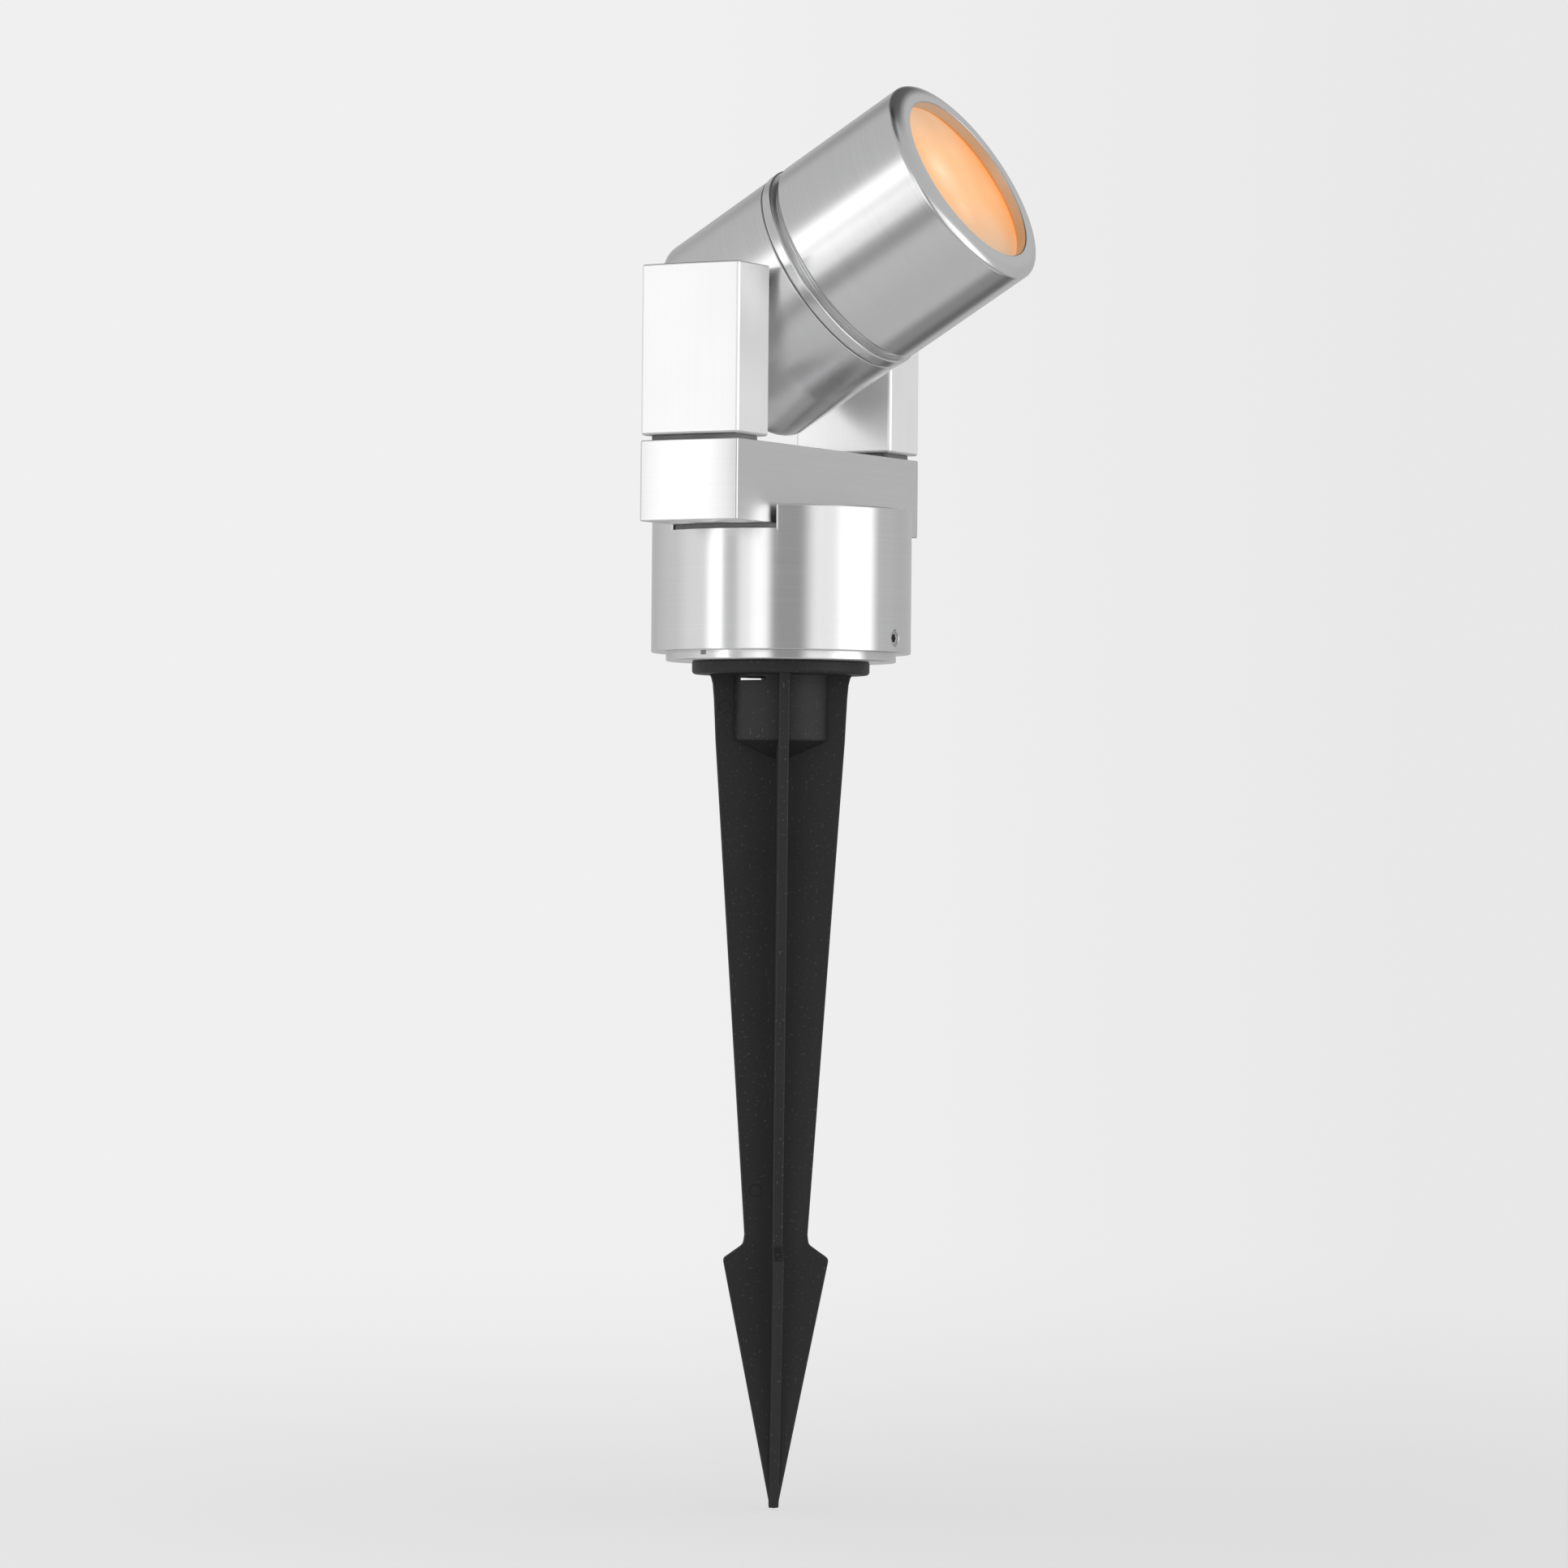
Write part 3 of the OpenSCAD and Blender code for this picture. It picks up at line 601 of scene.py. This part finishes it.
def make_plug():
    low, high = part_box("bottom_plug")
    base_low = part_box("base_housing")[0]
    radius, screw_hole, rim, floor = high.x, 3.2 * MM, 5.4 * MM, 4.5 * MM
    well, floor_z = radius - rim, low.z + floor
    # V-groove that the grub screws' points run in
    grub_low, grub_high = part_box("grub_screws")
    grub_z = (grub_low.z + grub_high.z) / 2
    half_mouth, half_bed, groove_depth, soft = 2.4 * MM, 0.9 * MM, 1.6 * MM, 0.1 * MM
    bed = radius - groove_depth
    seal_low, seal_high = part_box("plug_seal")
    seal_bed = radius - (seal_high.z - seal_low.z)
    seal_foot, seal_top = seal_low.z - SEAL_ROOM, seal_high.z + SEAL_ROOM
    plug = lathe("bottom_plug_turned", rounded([
        (screw_hole, low.z, 0.2 * MM), (radius, low.z, 0.35 * MM),
        (radius, grub_z - half_mouth, soft), (bed, grub_z - half_bed, soft),
        (bed, grub_z + half_bed, soft), (radius, grub_z + half_mouth, soft),
        (radius, seal_foot, 0), (seal_bed, seal_foot, 0), (seal_bed, seal_top, 0), (radius, seal_top, 0),
        (radius, high.z, 0.4 * MM), (well, high.z, 0.2 * MM),
        (well, floor_z, 0.3 * MM), (screw_hole, floor_z, 0.2 * MM),
    ], 4), FINE_ROUND)
    # small notch in the rim that shows below the base
    notch_turn, notch_half, notch_depth, notch_rise = math.radians(168), 0.9 * MM, 1 * MM, 0.2 * MM
    notch = slab((radius - notch_depth, radius + PAST), (-notch_half, notch_half),
                 (base_low.z - PAST, base_low.z + notch_rise))
    shaped(plug, [moved(notch, Matrix.Rotation(notch_turn, 4, "Z"))])
    finished(plug, turned, "stake", ["bottom_plug"])


# ---- yoke --------------------------------------------------------------------

# radius of the slightly round end faces of the bar and the uprights, and of the pads
CROWN, PAD_CROWN = 190 * MM, 150 * MM
BOLT_RADIUS = 4 * MM


def crowned_plan(length, width, corner, crown, count=10):
    """Plan of a bar with round corners and slightly crowned ends, about its own middle."""
    half, side = length / 2, width / 2

    def end_x(y):
        return half - (crown - math.sqrt(crown ** 2 - y ** 2))

    ys = [side * (2 * k / count - 1) for k in range(count + 1)]
    right = [(end_x(y), y, corner if abs(y) == side else 0) for y in ys]
    left = [(-x, -y, r) for x, y, r in right]
    return rounded(right + left)


def make_crossbar():
    low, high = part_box("crossbar")
    corner, edge = 0.7 * MM, 0.35 * MM
    plan = crowned_plan(high.x - low.x, high.y - low.y, corner, CROWN)
    bar = prism("crossbar_milled", plan, low.z, high.z, edge, edge)
    # bores for the heads of the uprights' screws, two under each upright
    upright_low, upright_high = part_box("right_upright")
    mid_x, half_pitch = (upright_low.x + upright_high.x) / 2, 8.5 * MM
    mouth, bore, slope, depth = 5.2 * MM, 4.6 * MM, 0.6 * MM, 5.5 * MM
    profile = [(0, -PAST), (mouth, -PAST), (mouth, 0), (bore, slope), (bore, depth), (0, depth)]
    cutters = []
    for x in (mid_x, -mid_x):
        for y in (half_pitch, -half_pitch):
            cutter = lathe("bore", profile, SMALL_ROUND)
            cutters.append(moved(cutter, Matrix.Translation((x, y, low.z))))
    # the mouth of the wiring channel, which the channel plug closes
    plug_low, plug_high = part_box("channel_plug")
    channel_reach = 10 * MM
    channel_start = along_x(plug_low.x, 0, (plug_low.z + plug_high.z) / 2)
    cutters.append(moved(rod(plug_high.y, 0, channel_reach), channel_start))
    shaped(bar, cutters)
    brushing_map(bar, Vector((1, 0, 0)))
    finished(bar, bar_finish, "base", ["crossbar"])


def make_upright(side):
    node = f"{side}_upright"
    low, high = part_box(node)
    corner, foot_edge, top_edge = 1 * MM, 0.8 * MM, 0.45 * MM
    plan = crowned_plan(high.x - low.x, high.y - low.y, corner, CROWN)
    upright = prism(f"{node}_milled", plan, low.z, high.z, foot_edge, top_edge)
    moved(upright, Matrix.Translation(((low.x + high.x) / 2, 0, 0)))
    # blind hole for the pivot bolt, in the inner face
    depth = 5.5 * MM
    start = low.x - PAST if side == "right" else high.x - depth
    hole = rod(BOLT_RADIUS, 0, depth + PAST)
    shaped(upright, [moved(hole, along_x(start, 0, pivot.z))])
    brushing_map(upright, Vector((0, 0, 1)))
    finished(upright, upright_brightened_finish, "base", [node])


def make_pads():
    corner, edge, bar_pad_edge = 1 * MM, 0.25 * MM, 0.2 * MM
    for side in ("left", "right"):
        node = f"{side}_pad"
        low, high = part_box(node)
        plan = crowned_plan(high.x - low.x, high.y - low.y, corner, PAD_CROWN)
        pad = prism(f"{node}_moulded", plan, low.z, high.z, edge, edge)
        moved(pad, Matrix.Translation(((low.x + high.x) / 2, 0, 0)))
        finished(pad, pad_rubber, "base", [node])
    # the bar's own pad is a strip whose ends follow the round of the base
    low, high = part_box("bar_pad")
    radius, count = high.x, 40
    turn = math.atan2(high.y, math.sqrt(radius ** 2 - high.y ** 2))
    bow = [2 * turn * k / count - turn for k in range(count + 1)]
    ends = [Vector((radius * math.cos(a), radius * math.sin(a))) for a in bow]
    ends += [-point for point in ends]
    pad = prism("bar_pad_moulded", ends, low.z, high.z, bar_pad_edge, bar_pad_edge)
    finished(pad, pad_rubber, "base", ["bar_pad"])


# ---- head --------------------------------------------------------------------

# how much smaller than the head's outside the spigot under the sleeve is, in radius
SPIGOT_STEP = 1.6 * MM
# steps in the head's rounded corners
HEAD_ARC_STEPS = 8


def at_head(piece):
    piece.matrix_world = HEAD
    return piece


def make_rear_housing():
    back, front, _ = axial("rear_housing")
    ring_back, ring_front, _ = axial("lock_ring")
    seal_back, seal_front, seal_radius = axial("head_seal")
    radius = axial("front_sleeve")[2]
    wall, end_wall, ring_gap = 3 * MM, 4 * MM, 0.15 * MM
    spigot, shoulder = radius - SPIGOT_STEP, ring_back - ring_gap
    bore, floor = spigot - wall, back + end_wall
    profile = [(0, back, 0), (radius, back, 3 * MM), (radius, shoulder, 0.3 * MM), (spigot, shoulder, 0)]
    # the thread lines between the ring and the sleeve, as plain V-grooves
    turns, pitch, depth, first = 4, 0.75 * MM, 0.35 * MM, 0.6 * MM
    flank = pitch * 0.42
    for k in range(turns):
        middle = ring_front + first + k * pitch
        profile += [(spigot, middle - flank, 0), (spigot - depth, middle, 0), (spigot, middle + flank, 0)]
    seal_bed = seal_radius - (seal_front - seal_back)
    seal_foot, seal_top = seal_back - SEAL_ROOM, seal_front + SEAL_ROOM
    profile += [
        (spigot, seal_foot, 0), (seal_bed, seal_foot, 0), (seal_bed, seal_top, 0), (spigot, seal_top, 0),
        (spigot, front, 0.4 * MM), (bore, front, 0.3 * MM), (bore, floor, 0), (0, floor, 0),
    ]
    housing = lathe("rear_housing_turned", rounded(profile, HEAD_ARC_STEPS), FINE_ROUND)

    # the pivot bosses reach out along X to the friction washers, with a bore for the bolts
    reach, boss_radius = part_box("rear_housing")[1].x, 7 * MM
    outline = rounded([
        (0, bore, 0), (boss_radius, bore, 0), (boss_radius, reach, 0.3 * MM), (0, reach, 0)], 3)
    bosses = []
    for side in (1, -1):
        boss = lathe("boss", outline, MIDDLE_ROUND)
        bosses.append(moved(boss, Matrix.Rotation(math.pi / 2 * side, 4, "Y")))
    shaped(housing, bosses, "UNION")
    bolt_bore = rod(BOLT_RADIUS + RUN, -reach - PAST, reach + PAST, MIDDLE_ROUND)
    shaped(housing, [moved(bolt_bore, along_x())])
    finished(at_head(housing), turned_rear, "head", ["rear_housing"])


def make_lock_ring():
    back, front, radius = axial("lock_ring")
    inner, soft = axial("front_sleeve")[2] - SPIGOT_STEP, 0.15 * MM
    ring = lathe("lock_ring_turned", rounded([
        (inner, back, soft), (radius, back, 0.6 * MM), (radius, front, 0.5 * MM), (inner, front, soft),
    ], HEAD_ARC_STEPS), FINE_ROUND)
    finished(at_head(ring), turned_ring, "head", ["lock_ring"])


def make_sleeve():
    back, front, radius = axial("front_sleeve")
    lens_back, lens_front, lens_radius = axial("front_lens")
    opening, seat_room = 22.3 * MM, 3 * MM
    spigot_bore, lens_bore = radius - (SPIGOT_STEP - RUN), lens_radius + RUN
    lip_back = axial("lens_gasket")[1] + RUN
    thread_end = axial("rear_housing")[1] + seat_room
    # the lip rolls over in a flat quarter ellipse, wide across and low along the axis
    lip_across, lip_along, lip_steps = 4.0 * MM, 2.2 * MM, 16
    lip = []
    for k in range(lip_steps + 1):
        turn = math.pi / 2 * k / lip_steps
        lip.append((radius - lip_across * (1 - math.cos(turn)), front - lip_along * (1 - math.sin(turn)), 0))
    sleeve = lathe("front_sleeve_turned", rounded([
        (spigot_bore, back, 0.2 * MM), (radius, back, 0.4 * MM), *lip,
        (opening, front, 0.35 * MM), (opening, lip_back, 0), (lens_bore, lip_back, 0),
        (lens_bore, thread_end, 0), (spigot_bore, thread_end, 0),
    ], HEAD_ARC_STEPS), FINE_ROUND)
    finished(at_head(sleeve), turned_head, "sleeve", ["front_sleeve"])
    # the wall in front of the glass is duller than the outside
    sleeve.data.materials.append(turned_bore)
    just_outside = opening + 0.2 * MM
    for face in sleeve.data.polygons:
        if math.hypot(face.center.x, face.center.y) < just_outside and face.center.z > lip_back:
            face.material_index = 1
    rise, rows = 0.35 * MM, 10
    dome = [(lens_radius * k / rows, lens_front - rise * (k / rows) ** 2) for k in range(rows + 1)]
    lens = at_head(lathe("front_lens_frosted", [(0, lens_back)] + dome + [(lens_radius, lens_back)]))
    finished(lens, lens_material(lens_radius), "lens_pack", ["front_lens"])


# ---- stake -------------------------------------------------------------------

FIN_TURN = math.radians(33)
FIN_THICKNESS = 2.5 * MM


def fin_outline(top, tip):
    """Half-widths down the fin, mirrored: shoulder, slow taper, waist, barb and round tip."""
    barb_z = tip + 62 * MM
    right = [
        (18.2 * MM, top, 0), (17.4 * MM, -0.8 * MM, 0.8 * MM), (17.0 * MM, -2.5 * MM, 0),
        (16.7 * MM, -6 * MM, 12 * MM), (16.4 * MM, -12 * MM, 0), (16.2 * MM, -16.5 * MM, 20 * MM),
        (7.9 * MM, barb_z + 6.8 * MM, 3 * MM), (8.2 * MM, barb_z + 4.4 * MM, 2 * MM),
        (13.1 * MM, barb_z + 0.9 * MM, 1.0 * MM), (13.1 * MM, barb_z, 0.8 * MM),
        (0, tip - 4.1 * MM, 1.1 * MM),
    ]
    left = [(-x, z, r) for x, z, r in reversed(right[:-1])]
    return rounded((right + left)[::-1], 6)


def make_stake():
    low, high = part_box("stake")
    insert_low, insert_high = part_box("stake_insert")
    flange_depth, boss, boss_depth, cone_depth, cone_tip = 3.2 * MM, 11.8 * MM, 16.4 * MM, 21 * MM, 2 * MM
    flange, top = high.x, high.z - flange_depth
    boss_foot, cone_foot = top - boss_depth, top - cone_depth
    stake = lathe("stake_moulded", rounded([
        (0, cone_foot, 0), (cone_tip, cone_foot, 0.5 * MM), (boss, boss_foot, 0.9 * MM),
        (boss, top, 0.8 * MM), (flange, top, 0.9 * MM), (flange, high.z, 0.45 * MM),
        (insert_high.x, high.z, 0), (insert_high.x, insert_low.z, 0), (0, insert_low.z, 0),
    ], 6), ROUND)
    half, fin_edge, overlap = FIN_THICKNESS / 2, 0.35 * MM, 0.5 * MM
    outline = fin_outline(top + overlap, low.z)
    fins = []
    for turn in (0, math.pi / 2):
        fin = prism("fin", outline, -half, half, fin_edge, fin_edge)
        fins.append(moved(fin, Matrix.Rotation(turn, 4, "Z") @ Matrix.Rotation(math.pi / 2, 4, "X")))
    shaped(stake, fins, "UNION")
    # see-through slit under the flange
    slit = slab((-20 * MM, 20 * MM), (4.3 * MM, 10.3 * MM), (-1.55 * MM, -0.65 * MM))
    # rings that the ejector pins left on one fin
    ring_inner, ring_outer, ring_height, ring_depth = 1.35 * MM, 1.65 * MM, 1 * MM, 0.2 * MM
    profile = [(ring_inner, 0), (ring_outer, 0), (ring_outer, ring_height), (ring_inner, ring_height)]
    marks = []
    for y, z in ((14 * MM, -8.1 * MM), (5.2 * MM, -129 * MM)):
        ring = lathe("mark", profile, 48)
        marks.append(moved(ring, along_x(-half - ring_height + ring_depth, y, z)))
    shaped(stake, [slit] + marks)
    stake.matrix_world = Matrix.Rotation(FIN_TURN, 4, "Z")
    finished(stake, stake_plastic, "stake", ["stake"], sharp=40)


# ---- gland -------------------------------------------------------------------


def hexagon(radius, corner):
    turns = [math.pi * k / 3 for k in range(6)]
    return rounded([(radius * math.cos(a), radius * math.sin(a), corner) for a in turns], 4)


def make_gland():
    place = along_x(0, 0, MOUNTS["cable_entry"]["pos_m"][2])
    flats = hexagon(8.1 * MM, 0.8 * MM)
    edge = 0.4 * MM

    low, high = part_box("gland_body")
    hex_x, hex_height, body_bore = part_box("gland_seal")[1].x, 3.6 * MM, 4.2 * MM
    body = prism("gland_body_moulded", flats, hex_x, hex_x + hex_height, edge, edge)
    shaped(body, [rod(GLAND_THREAD, low.x, high.x)], "UNION")
    shaped(body, [rod(body_bore, low.x - PAST, high.x + PAST)])
    finished(moved(body, place), gland_plastic, "base", ["gland_body"])

    low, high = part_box("gland_nut")
    nut_height, nut_edge, cable_hole, thread_depth = 5 * MM, 0.6 * MM, 3.55 * MM, 3 * MM
    nut = prism("gland_nut_moulded", flats, low.x, low.x + nut_height, edge, nut_edge)
    dome, dome_foot, dome_round = 6.9 * MM, low.x + 3 * MM, 1.9 * MM
    shaped(nut, [lathe("dome", rounded([
        (0, dome_foot, 0), (dome, dome_foot, 0), (dome, high.x, dome_round), (0, high.x, 0),
    ], 8), MIDDLE_ROUND)], "UNION")
    # grip grooves round the dome
    count, groove_radius, groove_steps, out, start = 24, 0.35 * MM, 12, 6.95 * MM, low.x + 5.1 * MM
    grooves = []
    for k in range(count):
        groove = rod(groove_radius, start, high.x + PAST, groove_steps)
        moved(groove, Matrix.Translation((out, 0, 0)))
        grooves.append(moved(groove, Matrix.Rotation(2 * math.pi * k / count, 4, "Z")))
    cable_way = rod(cable_hole, low.x - PAST, high.x + PAST)
    thread_way = rod(GLAND_THREAD, low.x - PAST, low.x + thread_depth)
    shaped(nut, [cable_way, thread_way] + grooves)
    finished(moved(nut, place), gland_plastic, "base", ["gland_nut"])


# ---- CAD nodes that stay -----------------------------------------------------

FINISHES = {
    "steel": steel, "brass": brass, "rubber": rubber, "silicone": silicone, "lead_sleeving": sleeving,
    "ceramic": ceramic, "lamp_body": lamp_body, "satin_aluminium": turned,
}
STAYING = {
    "steel": ["stake_screw", "stake_washer", "grub_screws", "block_screws", "bar_screws", "upright_screws",
              "pivot_bolts", "spring_washers", "holder_bracket", "bracket_screws"],
    "brass": ["stake_insert", "lamp_pins"],
    "rubber": ["plug_seal", "gland_bush", "gland_seal", "friction_washers", "head_seal"],
    "silicone": ["lens_gasket"],
    "lead_sleeving": ["yoke_lead", "head_lead"],
    "ceramic": ["terminal_block", "lamp_holder"],
    "lamp_body": ["lamp_reflector", "lamp_window"],
    "satin_aluminium": ["channel_plug"],
}


def finish_cad_nodes():
    """Gives the nodes that stay as the CAD's own meshes their materials."""
    for finish, names in STAYING.items():
        for name in names:
            node = NODES[name]
            node.data.materials.clear()
            node.data.materials.append(FINISHES[finish])


# ---- stage -------------------------------------------------------------------

# how opaque the floor is under the tip, and how far out it is gone, in metres
FLOOR_OPACITY, FLOOR_FADED_AT = 0.28, 0.9


def make_floor():
    """Pale floor under the tip that fades into the backdrop, so that no horizon shows."""
    count, reach, tip_gap = 128, 2.5, 0.05 * MM
    turns = [2 * math.pi * k / count for k in range(count)]
    ring = [(reach * math.cos(a), reach * math.sin(a), 0) for a in turns]
    floor = new_object("floor", ring, [tuple(range(count))])
    floor.location.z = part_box("stake")[0].z - tip_gap
    shader = Shader("floor")
    length = shader.node("ShaderNodeVectorMath", operation="LENGTH")
    shader.link(shader.place(), length.inputs[0])
    near = shader.spread(length.outputs["Value"], 1, 0, 0, FLOOR_FADED_AT)
    solid = shader.math("MULTIPLY", shader.math("POWER", near, 2), FLOOR_OPACITY)
    paper = shader.blend(shader.grain(900, 3), (0.86, 0.86, 0.855), (0.88, 0.88, 0.875))
    shader.link(paper, shader.surface.inputs["Base Color"])
    shader.set(Roughness=0.9, Specular_IOR_Level=0.1)
    clear = shader.node("ShaderNodeBsdfTransparent")
    mix = shader.node("ShaderNodeMixShader")
    shader.link(solid, mix.inputs[0])
    shader.link(clear.outputs[0], mix.inputs[1])
    shader.link(shader.surface.outputs[0], mix.inputs[2])
    shader.link(mix.outputs[0], shader.tree.nodes["Material Output"].inputs["Surface"])
    floor.data.materials.append(shader.material)


# studio round the object: soft boxes and gaps as (start, end, brightness), in degrees from the
# camera's side, with those to the left below zero. The levels run into each other between them.
STUDIO = [
    (-180, -150, 0.50), (-118, -108, 0.66), (-90, -72, 0.85), (-63, -57, 1.75), (-52, -42, 0.48),
    (-36, -30, 1.10), (-24, -14, 1.45), (-7, 18, 0.32), (29, 48, 1.10), (60, 82, 1.75),
    (95, 114, 0.54), (128, 180, 0.50),
]
BRIGHTEST = 1.75
# above and below the soft boxes: the brightness at heights given as their sine
ABOVE_BELOW = [
    (-1.0, 0.56), (-0.70, 0.63), (-0.57, 0.28), (-0.46, 0.34), (-0.36, 0.56), (0.5, 0.56), (1.0, 0.50),
]
# sines of the heights, up or down, where the soft boxes are gone and where they are full
BOX_EDGE, BOX_FULL = 0.42, 0.24
# patches of the studio that are darker or brighter: the way to each, the cosines of its outer edge
# and its core, and how many times as bright it is. Three gaps, then one box low down.
PATCHES = [
    ((0.50, 0.25, 0.83), 0.80, 0.91, 0.20), ((0.73, 0.08, -0.68), 0.90, 0.97, 0.40),
    ((-0.10, 0.10, 0.99), 0.90, 0.97, 0.30), ((-0.92, 0.33, -0.22), 0.974, 0.995, 1.8),
]


# sines of the angles to the left and right of the middle, and the backdrop's brightness there
BACKDROP_LEFT, BACKDROP_RIGHT = (-0.02, 0.87), (0.11, 0.81)


def make_world():
    """The studio lights and mirrors in the object; the camera itself sees only the backdrop."""
    world = bpy.data.worlds.new("studio")
    bpy.context.scene.world = world
    world.use_nodes = True
    tree = world.node_tree
    tree.nodes.clear()

    def node(kind, **settings):
        made = tree.nodes.new(kind)
        for key, value in settings.items():
            setattr(made, key, value)
        return made

    def math_node(operation, a, b):
        made = node("ShaderNodeMath", operation=operation)
        for socket, value in zip(made.inputs, (a, b)):
            if isinstance(value, (int, float)):
                socket.default_value = value
            else:
                tree.links.new(value, socket)
        return made.outputs[0]

    direction = node("ShaderNodeTexCoord").outputs["Generated"]
    split = node("ShaderNodeSeparateXYZ")
    tree.links.new(direction, split.inputs[0])
    camera_turn = math.atan2(toward_camera.y, toward_camera.x) / (2 * math.pi)
    turn = math_node("DIVIDE", math_node("ARCTAN2", split.outputs[1], split.outputs[0]), 2 * math.pi)
    share = math_node("FRACT", math_node("ADD", turn, 1.5 - camera_turn), 0)

    def level_ramp(position, points):
        """Grey level along position, 0 to 1, through the points (position, level)."""
        ramp = node("ShaderNodeValToRGB")
        stops = ramp.color_ramp.elements
        for k, (place, _) in enumerate(points):
            stop = stops[k] if k < 2 else stops.new(place)
            stop.position = place
        for stop, (_, level) in zip(sorted(stops, key=lambda s: s.position), points):
            stop.color = (level / BRIGHTEST,) * 3 + (1,)
        tree.links.new(position, ramp.inputs[0])
        return ramp.outputs[0]

    boxes = level_ramp(share, [(a / 360 + 0.5, level) for start, end, level in STUDIO for a in (start, end)])
    height = split.outputs[2]
    around = math_node("MULTIPLY", math_node("ADD", height, 1), 0.5)
    rest = level_ramp(around, [((sine + 1) / 2, level) for sine, level in ABOVE_BELOW])
    inside = node("ShaderNodeMapRange", interpolation_type="SMOOTHSTEP")
    for key, number in (("From Min", BOX_EDGE), ("From Max", BOX_FULL), ("To Min", 0), ("To Max", 1)):
        inside.inputs[key].default_value = number
    tree.links.new(math_node("ABSOLUTE", height, 0), inside.inputs["Value"])
    joined = node("ShaderNodeMix", data_type="FLOAT")
    tree.links.new(inside.outputs[0], joined.inputs[0])
    tree.links.new(rest, joined.inputs[2])
    tree.links.new(boxes, joined.inputs[3])
    studio = node("ShaderNodeBackground")
    studio.inputs["Strength"].default_value = BRIGHTEST
    level = joined.outputs[0]
    for way, edge, core, times in PATCHES:
        near = node("ShaderNodeVectorMath", operation="DOT_PRODUCT")
        near.inputs[1].default_value = way
        tree.links.new(direction, near.inputs[0])
        gap = node("ShaderNodeMapRange", interpolation_type="SMOOTHSTEP")
        for key, number in (("From Min", edge), ("From Max", core), ("To Min", 1), ("To Max", times)):
            gap.inputs[key].default_value = number
        tree.links.new(near.outputs["Value"], gap.inputs["Value"])
        level = math_node("MULTIPLY", level, gap.outputs[0])
    tree.links.new(level, studio.inputs["Color"])

    # the backdrop is a little darker to the right
    side = node("ShaderNodeVectorMath", operation="DOT_PRODUCT")
    side.inputs[1].default_value = image_right
    tree.links.new(direction, side.inputs[0])
    shade = node("ShaderNodeMapRange")
    for key, number in zip(("From Min", "To Min", "From Max", "To Max"), BACKDROP_LEFT + BACKDROP_RIGHT):
        shade.inputs[key].default_value = number
    tree.links.new(side.outputs["Value"], shade.inputs["Value"])
    backdrop = node("ShaderNodeBackground")
    tint = node("ShaderNodeCombineColor")
    for socket in tint.inputs:
        tree.links.new(shade.outputs[0], socket)
    tree.links.new(tint.outputs[0], backdrop.inputs["Color"])
    mix = node("ShaderNodeMixShader")
    tree.links.new(node("ShaderNodeLightPath").outputs["Is Camera Ray"], mix.inputs[0])
    tree.links.new(studio.outputs[0], mix.inputs[1])
    tree.links.new(backdrop.outputs[0], mix.inputs[2])
    tree.links.new(mix.outputs[0], node("ShaderNodeOutputWorld").inputs["Surface"])


# ---- making it ---------------------------------------------------------------

make_base()
make_plug()
make_crossbar()
make_upright("left")
make_upright("right")
make_pads()
make_rear_housing()
make_lock_ring()
make_sleeve()
make_stake()
make_gland()
finish_cad_nodes()
make_floor()
make_world()
bpy.context.scene.view_settings.view_transform = "Standard"
